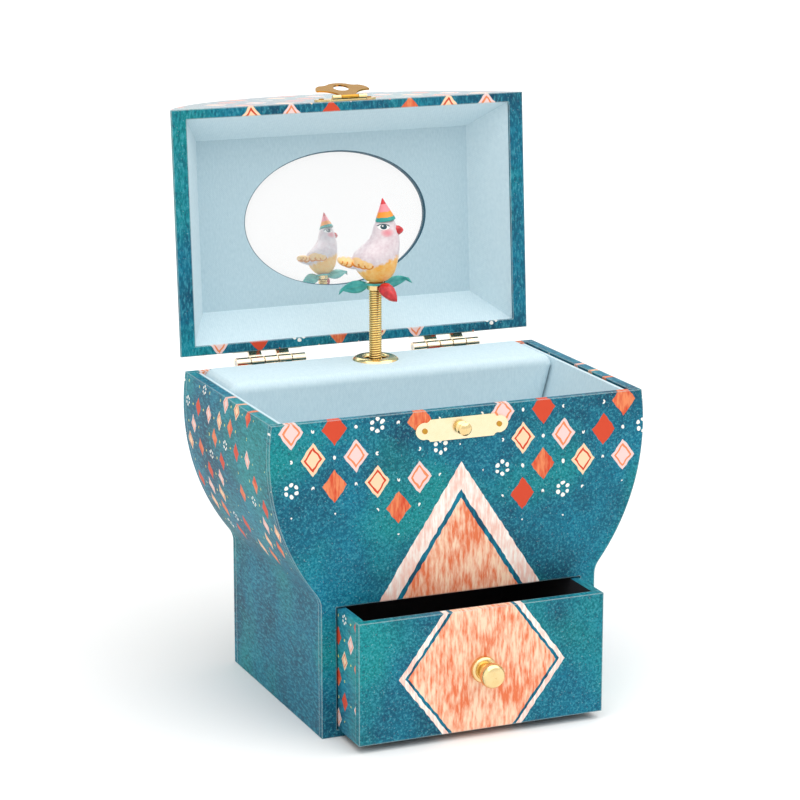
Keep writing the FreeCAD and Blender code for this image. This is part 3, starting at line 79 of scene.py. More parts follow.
def newMaterial(name, roughness, metallic=0.0, **sockets):
    material = bpy.data.materials.new(name)
    material.use_nodes = True
    tree = material.node_tree
    shader = tree.nodes["Principled BSDF"]
    shader.inputs["Roughness"].default_value = roughness
    shader.inputs["Metallic"].default_value = metallic
    for socket, setting in sockets.items():
        shader.inputs[socket.replace("_", " ")].default_value = setting
    return material, tree, shader


def lengths(tree, on="case"):
    # Object coordinates in millimetres; pieces of the lid are read as if the lid were shut
    place = addNode(tree, "ShaderNodeTexCoord").outputs["Object"]
    mapping = addNode(tree, "ShaderNodeMapping", {"Vector": place, "Scale": (1000, 1000, 1000)})
    if on == "lid":
        shut = Matrix.Rotation(math.radians(rest["lidOpen"]), 3, "X")
        hinge = Vector((0, rest["hingeY"], rest["hingeZ"]))
        mapping.inputs["Rotation"].default_value = (math.radians(rest["lidOpen"]), 0, 0)
        mapping.inputs["Location"].default_value = hinge - shut @ hinge
    if on == "figure":
        back = Matrix.Rotation(math.radians(-rest["figureTurn"]), 3, "Z")
        mapping.inputs["Rotation"].default_value = (0, 0, math.radians(-rest["figureTurn"]))
        mapping.inputs["Location"].default_value = -(back @ Vector((0, rest["stemY"], rest["seatZ"])))
    return mapping.outputs[0]


# Printed paper: uncoated litho print over greyboard with a thin satin varnish.
# The ground is drawn in wax crayon: cloudy teal with fine pale grain where the paper shows through.
groundLook = {
    "deep": "#07475f", "sea": "#067a95", "green": "#07908c", "grain": "#45a0b0", "ink": "#0b3d5a",
    "speck": "#cfe2e2",
    # mm; strokes are drawn about twice their real width
    "cloud": 34.0, "patch": 46.0, "stroke": 1.0, "fleck": 0.55, "edge": 0.8,
}


def crayonGround(tree, place, look):
    cloud = addNode(tree, "ShaderNodeTexNoise", {
        "Vector": place, "Scale": 1 / look["cloud"], "Detail": 5, "Roughness": 0.62})
    mottle = addNode(tree, "ShaderNodeMapRange", {
        "Value": cloud.outputs[0], "From Min": 0.34, "From Max": 0.66})
    base = addNode(tree, "ShaderNodeMix", {
        0: mottle.outputs[0], 6: linearColour(look["deep"]), 7: linearColour(look["sea"])},
        data_type="RGBA")
    patch = addNode(tree, "ShaderNodeTexNoise", {"Vector": place, "Scale": 1 / look["patch"], "Detail": 2})
    greens = addNode(tree, "ShaderNodeMapRange", {
        "Value": patch.outputs[0], "From Min": 0.47, "From Max": 0.66, "To Max": 0.75})
    tinted = addNode(tree, "ShaderNodeMix", {
        0: greens.outputs[0], 6: base.outputs[2], 7: linearColour(look["green"])}, data_type="RGBA")
    slant = addNode(tree, "ShaderNodeMapping", {
        "Vector": place, "Rotation": (0.5, 0.6, 0.4), "Scale": (1.0, 0.35, 1.0)})
    stroke = addNode(tree, "ShaderNodeTexNoise", {
        "Vector": slant.outputs[0], "Scale": 1 / look["stroke"], "Detail": 3, "Roughness": 0.7})
    # Pale wax where the stroke skips and dark wax where it presses
    grain = addNode(tree, "ShaderNodeMapRange", {
        "Value": stroke.outputs[0], "From Min": 0.5, "From Max": 0.7, "To Max": 0.75})
    press = addNode(tree, "ShaderNodeMapRange", {
        "Value": stroke.outputs[0], "From Min": 0.5, "From Max": 0.32, "To Max": 0.7})
    pressed = addNode(tree, "ShaderNodeMix", {
        0: press.outputs[0], 6: tinted.outputs[2], 7: linearColour(look["ink"])}, data_type="RGBA")
    grained = addNode(tree, "ShaderNodeMix", {
        0: grain.outputs[0], 6: pressed.outputs[2], 7: linearColour(look["grain"])}, data_type="RGBA")
    fleck = addNode(tree, "ShaderNodeTexNoise", {"Vector": place, "Scale": 1 / look["fleck"], "Detail": 1})
    specks = addNode(tree, "ShaderNodeMapRange", {
        "Value": fleck.outputs[0], "From Min": 0.69, "From Max": 0.75, "To Max": 0.25})
    colour = addNode(tree, "ShaderNodeMix", {
        0: specks.outputs[0], 6: grained.outputs[2], 7: linearColour(look["speck"])}, data_type="RGBA")
    return colour.outputs[2], stroke.outputs[0]


# Harlequin print: a lattice of lozenges in turn coral, blush, dotted and lined
printLook = {
    "coral": "#d2492d", "ember": "#e98a5c", "chalk": "#fbd8ba", "clay": "#e4774c", "blush": "#efcfca",
    "peach": "#f8d3ad", "cream": "#fbf6ee", "petal": "#efc3b4", "lemon": "#e9e06a",
    # mm; strokes are 1.1 wide and 6 long, and outlines wander by the wobble over each jitter length
    "stroke": (1 / 1.1, 1 / 6.0, 1 / 6.0), "blotch": 11.0, "wobble": 0.45, "jitter": 2.6,
}


def latticeCell(tree, across, up, width, height):
    # One lozenge of the lattice is a unit square in these slanted coordinates
    u = addNode(tree, "ShaderNodeMath", {0: across, 1: width}, operation="DIVIDE").outputs[0]
    v = addNode(tree, "ShaderNodeMath", {0: up, 1: height}, operation="DIVIDE").outputs[0]
    a = addNode(tree, "ShaderNodeMath", {0: u, 1: v}, operation="ADD").outputs[0]
    b = addNode(tree, "ShaderNodeMath", {0: u, 1: v}, operation="SUBTRACT").outputs[0]
    cell = {}
    for name, slanted in (("a", a), ("b", b)):
        cell[name] = addNode(tree, "ShaderNodeMath", {0: slanted}, operation="FLOOR").outputs[0]
        part = addNode(tree, "ShaderNodeMath", {0: slanted}, operation="FRACT").outputs[0]
        cell["f" + name] = addNode(tree, "ShaderNodeMath", {
            0: part, 1: 0.5}, operation="SUBTRACT").outputs[0]
        cell["d" + name] = addNode(tree, "ShaderNodeMath", {
            0: cell["f" + name]}, operation="ABSOLUTE").outputs[0]
    cell["edge"] = addNode(tree, "ShaderNodeMath", {
        0: cell["da"], 1: cell["db"]}, operation="MAXIMUM").outputs[0]
    # Millimetres from the middle of the lozenge
    total = addNode(tree, "ShaderNodeMath", {0: cell["fa"], 1: cell["fb"]}, operation="ADD").outputs[0]
    gap = addNode(tree, "ShaderNodeMath", {0: cell["fa"], 1: cell["fb"]}, operation="SUBTRACT").outputs[0]
    cell["x"] = addNode(tree, "ShaderNodeMath", {0: total, 1: width / 2}, operation="MULTIPLY").outputs[0]
    cell["y"] = addNode(tree, "ShaderNodeMath", {0: gap, 1: height / 2}, operation="MULTIPLY").outputs[0]
    twice = addNode(tree, "ShaderNodeMath", {0: cell["b"], 1: 2.0}, operation="MULTIPLY").outputs[0]
    order = addNode(tree, "ShaderNodeMath", {0: cell["a"], 1: twice}, operation="ADD").outputs[0]
    cell["turn"] = addNode(tree, "ShaderNodeMath", {
        0: order, 1: 5.0}, operation="FLOORED_MODULO").outputs[0]
    return cell


def crayonHatch(tree, place, light, dark, look):
    # Long upright strokes that overlap unevenly
    stretched = addNode(tree, "ShaderNodeMapping", {"Vector": place, "Scale": look["stroke"]})
    strokes = addNode(tree, "ShaderNodeTexNoise", {
        "Vector": stretched.outputs[0], "Detail": 3, "Roughness": 0.6, "Scale": 1.0})
    blotch = addNode(tree, "ShaderNodeTexNoise", {
        "Vector": place, "Scale": 1 / look["blotch"], "Detail": 3})
    mixed = addNode(tree, "ShaderNodeMath", {
        0: blotch.outputs[0], 1: 0.5, 2: strokes.outputs[0]}, operation="MULTIPLY_ADD")
    blend = addNode(tree, "ShaderNodeMapRange", {
        "Value": mixed.outputs[0], "From Min": 0.6, "From Max": 0.9})
    return addNode(tree, "ShaderNodeMix", {
        0: blend.outputs[0], 6: linearColour(dark), 7: linearColour(light)}, data_type="RGBA").outputs[2]


def ringOfDots(tree, x, y, radius, dot, count):
    distance = addNode(tree, "ShaderNodeMath", {
        0: addNode(tree, "ShaderNodeMath", {0: x, 1: x}, operation="MULTIPLY").outputs[0],
        1: addNode(tree, "ShaderNodeMath", {0: y, 1: y}, operation="MULTIPLY").outputs[0]}, operation="ADD")
    reach = addNode(tree, "ShaderNodeMath", {0: distance.outputs[0]}, operation="SQRT").outputs[0]
    angle = addNode(tree, "ShaderNodeMath", {0: y, 1: x}, operation="ARCTAN2").outputs[0]
    sector = addNode(tree, "ShaderNodeMath", {
        0: angle, 1: count / 2 / math.pi}, operation="MULTIPLY").outputs[0]
    share = addNode(tree, "ShaderNodeMath", {0: sector}, operation="FRACT").outputs[0]
    offset = addNode(tree, "ShaderNodeMath", {0: share, 1: 0.5}, operation="SUBTRACT").outputs[0]
    along = addNode(tree, "ShaderNodeMath", {
        0: offset, 1: 2 * math.pi * radius / count}, operation="MULTIPLY").outputs[0]
    outward = addNode(tree, "ShaderNodeMath", {0: reach, 1: radius}, operation="SUBTRACT").outputs[0]
    spot = addNode(tree, "ShaderNodeMath", {
        0: addNode(tree, "ShaderNodeMath", {0: along, 1: along}, operation="MULTIPLY").outputs[0],
        1: addNode(tree, "ShaderNodeMath", {
            0: outward, 1: outward}, operation="MULTIPLY").outputs[0]}, operation="ADD")
    return addNode(tree, "ShaderNodeMath", {
        0: spot.outputs[0], 1: dot * dot}, operation="LESS_THAN").outputs[0]


def harlequin(tree, place, across, up, ground, layout, look, keep=None):
    cell = latticeCell(tree, across, up, layout["width"], layout["height"])
    inside = addNode(tree, "ShaderNodeMath", {
        0: cell["edge"], 1: layout["fill"]}, operation="LESS_THAN").outputs[0]
    line = addNode(tree, "ShaderNodeMath", {
        0: cell["edge"], 1: layout["fill"] * 0.66, 2: layout["fill"] * 0.09},
        operation="COMPARE").outputs[0]
    # Whole lozenges are kept or left out, by chance and by where their middle lies
    index = addNode(tree, "ShaderNodeCombineXYZ", {0: cell["a"], 1: cell["b"]}).outputs[0]
    chance = addNode(tree, "ShaderNodeTexWhiteNoise", {"Vector": index}).outputs["Value"]
    kept = addNode(tree, "ShaderNodeMath", {
        0: chance, 1: layout["gaps"]}, operation="GREATER_THAN").outputs[0]
    if keep:
        middleAcross = addNode(tree, "ShaderNodeMath", {
            0: across, 1: cell["x"]}, operation="SUBTRACT").outputs[0]
        middleUp = addNode(tree, "ShaderNodeMath", {0: up, 1: cell["y"]}, operation="SUBTRACT").outputs[0]
        wanted = keep(tree, middleAcross, middleUp)
        kept = addNode(tree, "ShaderNodeMath", {0: kept, 1: wanted}, operation="MULTIPLY").outputs[0]
    inside = addNode(tree, "ShaderNodeMath", {0: inside, 1: kept}, operation="MULTIPLY").outputs[0]
    colour = ground
    hatched = crayonHatch(tree, place, look["ember"], look["coral"], look)
    # Turn of the lozenge, its ink and the ink of the line inside it
    inks = (
        (0, hatched, None), (1, linearColour(look["blush"]), look["ember"]),
        (3, linearColour(look["peach"]), look["coral"]), (4, linearColour(look["coral"]), None))
    for turn, ink, lineInk in inks:
        chosen = addNode(tree, "ShaderNodeMath", {
            0: cell["turn"], 1: turn, 2: 0.4}, operation="COMPARE").outputs[0]
        mask = addNode(tree, "ShaderNodeMath", {0: chosen, 1: inside}, operation="MULTIPLY").outputs[0]
        colour = addNode(tree, "ShaderNodeMix", {0: mask, 6: colour, 7: ink}, data_type="RGBA").outputs[2]
        if lineInk:
            stripe = addNode(tree, "ShaderNodeMath", {0: mask, 1: line}, operation="MULTIPLY").outputs[0]
            colour = addNode(tree, "ShaderNodeMix", {
                0: stripe, 6: colour, 7: linearColour(lineInk)}, data_type="RGBA").outputs[2]
    chosen = addNode(tree, "ShaderNodeMath", {
        0: cell["turn"], 1: 2.0, 2: 0.4}, operation="COMPARE").outputs[0]
    dots = ringOfDots(tree, cell["x"], cell["y"], layout["ring"], layout["dot"], layout["dots"])
    shown = addNode(tree, "ShaderNodeMath", {0: chosen, 1: kept}, operation="MULTIPLY").outputs[0]
    mask = addNode(tree, "ShaderNodeMath", {0: shown, 1: dots}, operation="MULTIPLY").outputs[0]
    colour = addNode(tree, "ShaderNodeMix", {
        0: mask, 6: colour, 7: linearColour(look["cream"])}, data_type="RGBA").outputs[2]
    # A small dot where four lozenges meet
    near = addNode(tree, "ShaderNodeCombineXYZ", {0: cell["da"], 1: cell["db"]}).outputs[0]
    corner = addNode(tree, "ShaderNodeVectorMath", {0: near, 1: (0.5, 0.5, 0)}, operation="DISTANCE")
    meeting = addNode(tree, "ShaderNodeMath", {
        0: corner.outputs["Value"], 1: layout["bead"]}, operation="LESS_THAN").outputs[0]
    beads = addNode(tree, "ShaderNodeMath", {0: meeting, 1: kept}, operation="MULTIPLY").outputs[0]
    return addNode(tree, "ShaderNodeMix", {
        0: beads, 6: colour, 7: linearColour(look[layout["beadInk"]])}, data_type="RGBA").outputs[2]


def highlightedEdges(tree, colour, look):
    # The paper is painted pale along its edges, a painted highlight where the rounded folds catch the
    # light; the bevel also rounds the shading there
    soft = addNode(tree, "ShaderNodeBevel", {"Radius": look["edge"] * mm}, samples=6).outputs[0]
    plain = addNode(tree, "ShaderNodeNewGeometry").outputs["Normal"]
    match = addNode(tree, "ShaderNodeVectorMath", {
        0: soft, 1: plain}, operation="DOT_PRODUCT").outputs["Value"]
    edge = addNode(tree, "ShaderNodeMapRange", {
        "Value": match, "From Min": 0.985, "From Max": 0.86, "To Max": 0.55}).outputs[0]
    return addNode(tree, "ShaderNodeMix", {
        0: edge, 6: colour, 7: linearColour(look["speck"])}, data_type="RGBA").outputs[2], soft


def printedPaper(name, on, axes, layout=None, band=None, keep=None, varnish=0.0, arc=None):
    material, tree, shader = newMaterial(
        name, 0.5, IOR=1.5, Specular_IOR_Level=0.2, Coat_Weight=varnish, Coat_Roughness=0.16)
    place = lengths(tree, on)
    colour, height = crayonGround(tree, place, groundLook)
    jitter = addNode(tree, "ShaderNodeTexNoise", {
        "Vector": place, "Scale": 1 / printLook["jitter"], "Detail": 0})
    shift = addNode(tree, "ShaderNodeVectorMath", {
        0: jitter.outputs[1], 1: (0.5, 0.5, 0.5)}, operation="SUBTRACT")
    moved = addNode(tree, "ShaderNodeVectorMath", {
        0: shift.outputs[0], 1: (2 * printLook["wobble"],) * 3, 2: place}, operation="MULTIPLY_ADD")
    parts = addNode(tree, "ShaderNodeSeparateXYZ", {0: moved.outputs[0]})
    across, up = parts.outputs[axes[0]], parts.outputs[axes[1]]
    if arc:
        # The sheet is measured along the bend of the dome
        raised = addNode(tree, "ShaderNodeMath", {
            0: parts.outputs[2], 1: arc["middle"]}, operation="SUBTRACT")
        angle = addNode(tree, "ShaderNodeMath", {0: across, 1: raised.outputs[0]}, operation="ARCTAN2")
        along = addNode(tree, "ShaderNodeMath", {
            0: angle.outputs[0], 1: arc["radius"]}, operation="MULTIPLY")
        across = along.outputs[0]
    if layout:
        colour = harlequin(tree, place, across, up, colour, layout, printLook, keep)
    if band:
        colour = band(tree, place, across, up, colour)
    # Pale painted highlight along the edges
    colour, soft = highlightedEdges(tree, colour, groundLook)
    tree.links.new(colour, shader.inputs["Base Color"])
    bump = addNode(tree, "ShaderNodeBump", {
        "Height": height, "Strength": 0.12, "Distance": 0.05 * mm, "Normal": soft})
    tree.links.new(bump.outputs[0], shader.inputs["Normal"])
    return material


def lozengeReach(tree, across, up, middle, half, tall):
    # 1 on the edge of a lozenge about the middle height, less inside it
    x = addNode(tree, "ShaderNodeMath", {0: across}, operation="ABSOLUTE").outputs[0]
    raised = addNode(tree, "ShaderNodeMath", {0: up, 1: middle}, operation="SUBTRACT").outputs[0]
    y = addNode(tree, "ShaderNodeMath", {0: raised}, operation="ABSOLUTE").outputs[0]
    u = addNode(tree, "ShaderNodeMath", {0: x, 1: half}, operation="DIVIDE").outputs[0]
    v = addNode(tree, "ShaderNodeMath", {0: y, 1: tall}, operation="DIVIDE").outputs[0]
    return addNode(tree, "ShaderNodeMath", {0: u, 1: v}, operation="ADD").outputs[0]


def bigLozenge(shape, rings):
    # Large crayon lozenges set one inside the other
    def band(tree, place, across, up, colour):
        reach = lozengeReach(tree, across, up, *shape)
        for limit, light, dark in rings:
            hatched = crayonHatch(tree, place, light, dark, printLook)
            mask = addNode(tree, "ShaderNodeMath", {0: reach, 1: limit}, operation="LESS_THAN").outputs[0]
            colour = addNode(tree, "ShaderNodeMix", {
                0: mask, 6: colour, 7: hatched}, data_type="RGBA").outputs[2]
        return colour
    return band


def aboveLine(level, slope=0.0, shape=None, clearance=1.16):
    # Lozenges stay over a line that climbs to both sides, and clear of the large lozenge
    def keep(tree, across, up):
        reach = addNode(tree, "ShaderNodeMath", {0: across}, operation="ABSOLUTE").outputs[0]
        line = addNode(tree, "ShaderNodeMath", {
            0: reach, 1: slope, 2: level}, operation="MULTIPLY_ADD").outputs[0]
        wanted = addNode(tree, "ShaderNodeMath", {0: up, 1: line}, operation="GREATER_THAN").outputs[0]
        if shape:
            spread = lozengeReach(tree, across, up, *shape)
            clear = addNode(tree, "ShaderNodeMath", {
                0: spread, 1: clearance}, operation="GREATER_THAN").outputs[0]
            wanted = addNode(tree, "ShaderNodeMath", {0: wanted, 1: clear}, operation="MULTIPLY").outputs[0]
        return wanted
    return keep


def withinHalf(half):
    def keep(tree, across, up):
        reach = addNode(tree, "ShaderNodeMath", {0: across}, operation="ABSOLUTE").outputs[0]
        return addNode(tree, "ShaderNodeMath", {0: reach, 1: half}, operation="LESS_THAN").outputs[0]
    return keep


# Lattice steps, ring and dot radii in mm; fill, bead and gaps are shares of a lozenge or of their number
frontLayout = {
    "width": 18.0, "height": 23.0, "fill": 0.29, "ring": 2.4, "dot": 0.85, "dots": 6,
    "bead": 0.05, "beadInk": "cream", "gaps": 0.12}
sideLayout = {
    "width": 13.0, "height": 17.0, "fill": 0.24, "ring": 1.6, "dot": 0.55, "dots": 6,
    "bead": 0.05, "beadInk": "lemon", "gaps": 0.3}
domeLayout = dict(frontLayout, gaps=0.4)
domeArc = {"middle": 100.7, "radius": 85.8}
coralInks = (printLook["chalk"], printLook["clay"])
blushInks = (printLook["cream"], printLook["petal"])
tealInks = (groundLook["sea"], groundLook["deep"])
frontRings = ((1.0, *blushInks), (0.8, *tealInks), (0.74, *coralInks))
drawerRings = ((1.0, *blushInks), (0.93, *tealInks), (0.89, *coralInks))
# Large lozenges: height of the middle, half width and half height, mm
frontShape = (50.0, 38.0, 58.0)
drawerShape = (28.4, 36.0, 48.0)
printLine = {"front": 64.0, "climb": 0.5, "side": 66.0, "rimHalf": 70.0}
casePaper = printedPaper(
    "printed paper case front", "case", (0, 2), frontLayout, bigLozenge(frontShape, frontRings),
    aboveLine(printLine["front"], printLine["climb"], frontShape))
backPaper = printedPaper(
    "printed paper case back", "case", (0, 2), frontLayout, None,
    aboveLine(printLine["front"], printLine["climb"]))
sidePaper = printedPaper(
    "printed paper side", "case", (1, 2), sideLayout, None, aboveLine(printLine["side"]))
drawerPaper = printedPaper(
    "printed paper drawer", "case", (0, 2), None, bigLozenge(drawerShape, drawerRings))
lidPaper = printedPaper("printed paper lid", "lid", (0, 2), frontLayout, varnish=1.0)
domePaper = printedPaper("printed paper dome", "lid", (0, 1), domeLayout, varnish=1.0, arc=domeArc)
rimPaper = printedPaper(
    "printed paper lid rim", "lid", (0, 1), frontLayout, None, withinHalf(printLine["rimHalf"]))
print("printed papers made")


# Drawer box: the print wraps the outside and the top edges, and dull black paper lines the inside
drawerBox = {"outerHalf": 52.85, "topEdge": 53.3, "fibre": 0.8, "black": "#29292c", "blackPale": "#38383c"}


def wrappedBox():
    material, tree, shader = newMaterial("printed and black paper", 0.55, IOR=1.5)
    place = lengths(tree)
    colour, height = crayonGround(tree, place, groundLook)
    parts = addNode(tree, "ShaderNodeSeparateXYZ", {0: place})
    colour = harlequin(tree, place, parts.outputs[1], parts.outputs[2], colour, sideLayout, printLook)
    reach = addNode(tree, "ShaderNodeMath", {0: parts.outputs[0]}, operation="ABSOLUTE").outputs[0]
    outer = addNode(tree, "ShaderNodeMath", {
        0: reach, 1: drawerBox["outerHalf"]}, operation="GREATER_THAN").outputs[0]
    top = addNode(tree, "ShaderNodeMath", {
        0: parts.outputs[2], 1: drawerBox["topEdge"]}, operation="GREATER_THAN").outputs[0]
    wrap = addNode(tree, "ShaderNodeMath", {0: outer, 1: top}, operation="MAXIMUM").outputs[0]
    fibre = addNode(tree, "ShaderNodeTexNoise", {
        "Vector": place, "Scale": 1 / drawerBox["fibre"], "Detail": 2})
    black = addNode(tree, "ShaderNodeMix", {
        0: fibre.outputs[0], 6: linearColour(drawerBox["black"]), 7: linearColour(drawerBox["blackPale"])},
        data_type="RGBA").outputs[2]
    wrapped = addNode(tree, "ShaderNodeMix", {0: wrap, 6: black, 7: colour}, data_type="RGBA").outputs[2]
    tree.links.new(wrapped, shader.inputs["Base Color"])
    bump = addNode(tree, "ShaderNodeBump", {"Height": height, "Strength": 0.15, "Distance": 0.05 * mm})
    tree.links.new(bump.outputs[0], shader.inputs["Normal"])
    return material


drawerBoxPaper = wrappedBox()


def ovalMask(tree, x, z, middle, size):
    dx = addNode(tree, "ShaderNodeMath", {0: x, 1: middle[0]}, operation="SUBTRACT").outputs[0]
    dz = addNode(tree, "ShaderNodeMath", {0: z, 1: middle[1]}, operation="SUBTRACT").outputs[0]
    u = addNode(tree, "ShaderNodeMath", {0: dx, 1: size[0]}, operation="DIVIDE").outputs[0]
    v = addNode(tree, "ShaderNodeMath", {0: dz, 1: size[1]}, operation="DIVIDE").outputs[0]
    return addNode(tree, "ShaderNodeMath", {
        0: addNode(tree, "ShaderNodeMath", {0: u, 1: u}, operation="MULTIPLY").outputs[0],
        1: addNode(tree, "ShaderNodeMath", {
            0: v, 1: v}, operation="MULTIPLY").outputs[0]}, operation="ADD").outputs[0]


# Book cloth: plain-weave linen on paper, 0.55 mm threads drawn 0.9 mm wide so that they show
# The mirror board's colours are a darker copy of the same linen: painted shade for the shadow the board
# stands in
clothLook = {
    "light": "#d6e8ee", "dark": "#bfd6df", "shadedBackLight": "#c6dbe3", "shadedBackDark": "#a9c5d0",
    "thread": 0.9, "slub": 1.0, "cutEdge": "#0d4f64", "window": (42.0, 29.0)}


def bookCloth(name, on, axes, window=None):
    material, tree, shader = newMaterial(name, 0.85, IOR=1.46, Sheen_Weight=0.12, Sheen_Roughness=0.5)
    place = lengths(tree, on)
    parts = addNode(tree, "ShaderNodeSeparateXYZ", {0: place})
    threads = []
    for axis in axes:
        turn = addNode(tree, "ShaderNodeMath", {
            0: parts.outputs[axis], 1: 2 * math.pi / clothLook["thread"]}, operation="MULTIPLY").outputs[0]
        threads.append(addNode(tree, "ShaderNodeMath", {0: turn}, operation="SINE").outputs[0])
    weave = addNode(tree, "ShaderNodeMath", {0: threads[0], 1: threads[1]}, operation="MULTIPLY").outputs[0]
    # Slubs are drawn out along the second axis
    stretch = [0.5, 0.5, 0.5]
    stretch[axes[0]] = 1.3
    warp = addNode(tree, "ShaderNodeMapping", {"Vector": place, "Scale": stretch})
    slub = addNode(tree, "ShaderNodeTexNoise", {
        "Vector": warp.outputs[0], "Scale": 1 / clothLook["slub"], "Detail": 3, "Roughness": 0.7})
    mixed = addNode(tree, "ShaderNodeMath", {
        0: weave, 1: 0.16, 2: slub.outputs[0]}, operation="MULTIPLY_ADD").outputs[0]
    tone = addNode(tree, "ShaderNodeMapRange", {
        "Value": mixed, "From Min": 0.15, "From Max": 0.85}).outputs[0]
    # The mirror board takes the darker copy, painted shade over the same linen
    dark, light = ("shadedBackDark", "shadedBackLight") if window else ("dark", "light")
    colour = addNode(tree, "ShaderNodeMix", {
        0: tone, 6: linearColour(clothLook[dark]), 7: linearColour(clothLook[light])},
        data_type="RGBA").outputs[2]
    if window:
        # The cut edge of the oval window is painted dark
        spread = ovalMask(tree, parts.outputs[0], parts.outputs[1], (0, 0), window)
        inside = addNode(tree, "ShaderNodeMath", {0: spread, 1: 1.012}, operation="LESS_THAN").outputs[0]
        colour = addNode(tree, "ShaderNodeMix", {
            0: inside, 6: colour, 7: linearColour(clothLook["cutEdge"])}, data_type="RGBA").outputs[2]
    tree.links.new(colour, shader.inputs["Base Color"])
    bump = addNode(tree, "ShaderNodeBump", {"Height": mixed, "Strength": 0.3, "Distance": 0.12 * mm})
    tree.links.new(bump.outputs[0], shader.inputs["Normal"])
    return material


wallCloth = bookCloth("linen book cloth upright", "case", (0, 2))
sideCloth = bookCloth("linen book cloth side", "case", (1, 2))
floorCloth = bookCloth("linen book cloth floor", "case", (0, 1))
lidCloth = bookCloth("linen book cloth lid", "lid", (0, 1))
shadedWindowCloth = bookCloth("linen book cloth window with painted shade", "lid", (0, 1), clothLook["window"])


# Metals: lacquered brass pressings, plated hinge steel, bright spring steel and cast zinc.
# Handling leaves them hazed, so colour and gloss drift a little over a few mm.
def polishedMetal(name, colour, dull, roughness, grain):
    material, tree, shader = newMaterial(name, roughness, 1.0)
    place = lengths(tree)
    haze = addNode(tree, "ShaderNodeTexNoise", {
        "Vector": place, "Scale": 1 / grain, "Detail": 4, "Roughness": 0.6})
    tone = addNode(tree, "ShaderNodeMix", {
        0: haze.outputs[0], 6: linearColour(colour), 7: linearColour(dull)}, data_type="RGBA").outputs[2]
    tree.links.new(tone, shader.inputs["Base Color"])
    smear = addNode(tree, "ShaderNodeMapRange", {
        "Value": haze.outputs[0], "To Min": roughness * 0.7, "To Max": roughness * 1.5})
    tree.links.new(smear.outputs[0], shader.inputs["Roughness"])
    return material


brass = polishedMetal("lacquered brass", "#efd9a6", "#dfbf80", 0.16, 3.0)
platedBrass = polishedMetal("pale plated brass", "#f6e7c6", "#ecd8ac", 0.2, 3.0)
agedBrass = polishedMetal("aged brass", "#c9983f", "#a9792c", 0.22, 2.0)
coilBrass = polishedMetal("brassed spring wire", "#ecd291", "#d6b266", 0.2, 4.0)
hingePlate = polishedMetal("plated hinge steel", "#efe3cd", "#d8c6a4", 0.2, 2.0)
brightSteel = polishedMetal("bright spring steel", "#c9c9cb", "#a8a8ab", 0.24, 2.0)
castZinc = polishedMetal("cast zinc", "#a9aaad", "#8b8c90", 0.45, 1.2)


# Mirror: silvered acrylic with a faint haze over the silver, bulged about a point low on its right
# The crown is in metres from the middle, and the bulge is how fast the normal leans, per metre
mirror = {"silver": "#fdfdfd", "crown": (0.03, 0, -0.05), "bulge": 3.0}


def mirrorSheet():
    material, tree, shader = newMaterial(
        "silvered acrylic", 0.02, 0.8, Base_Color=linearColour(mirror["silver"]))
    place = addNode(tree, "ShaderNodeTexCoord").outputs["Object"]
    low, high = (Vector(corner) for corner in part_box("mirror"))
    crown = (low + high) / 2 + Vector(mirror["crown"])
    offset = addNode(tree, "ShaderNodeVectorMath", {0: place, 1: crown}, operation="SUBTRACT").outputs[0]
    plain = addNode(tree, "ShaderNodeNewGeometry").outputs["Normal"]
    bulge = addNode(tree, "ShaderNodeVectorMath", {
        0: offset, 1: (mirror["bulge"], 0.0, mirror["bulge"]), 2: plain},
        operation="MULTIPLY_ADD").outputs[0]
    normal = addNode(tree, "ShaderNodeVectorMath", {0: bulge}, operation="NORMALIZE").outputs[0]
    tree.links.new(normal, shader.inputs["Normal"])
    return material


mirrorGlass = mirrorSheet()


# Greyboard is pressed from waste paper, flecked and dull.
# The air brake is moulded in black acetal, dull with a faint flow mottle.
def mottled(name, roughness, dark, light, grain, detail, **sockets):
    material, tree, shader = newMaterial(name, roughness, **sockets)
    fleck = addNode(tree, "ShaderNodeTexNoise", {
        "Vector": lengths(tree), "Scale": 1 / grain, "Detail": detail})
    tone = addNode(tree, "ShaderNodeMix", {
        0: fleck.outputs[0], 6: linearColour(dark), 7: linearColour(light)}, data_type="RGBA")
    tree.links.new(tone.outputs[2], shader.inputs["Base Color"])
    return material


boardGrey = mottled("greyboard", 0.9, "#7f7b73", "#a39e94", 1.4, 4)
acetal = mottled("moulded acetal", 0.45, "#17181a", "#24262a", 2.5, 2, IOR=1.48)
print("cloth, metals and board made")


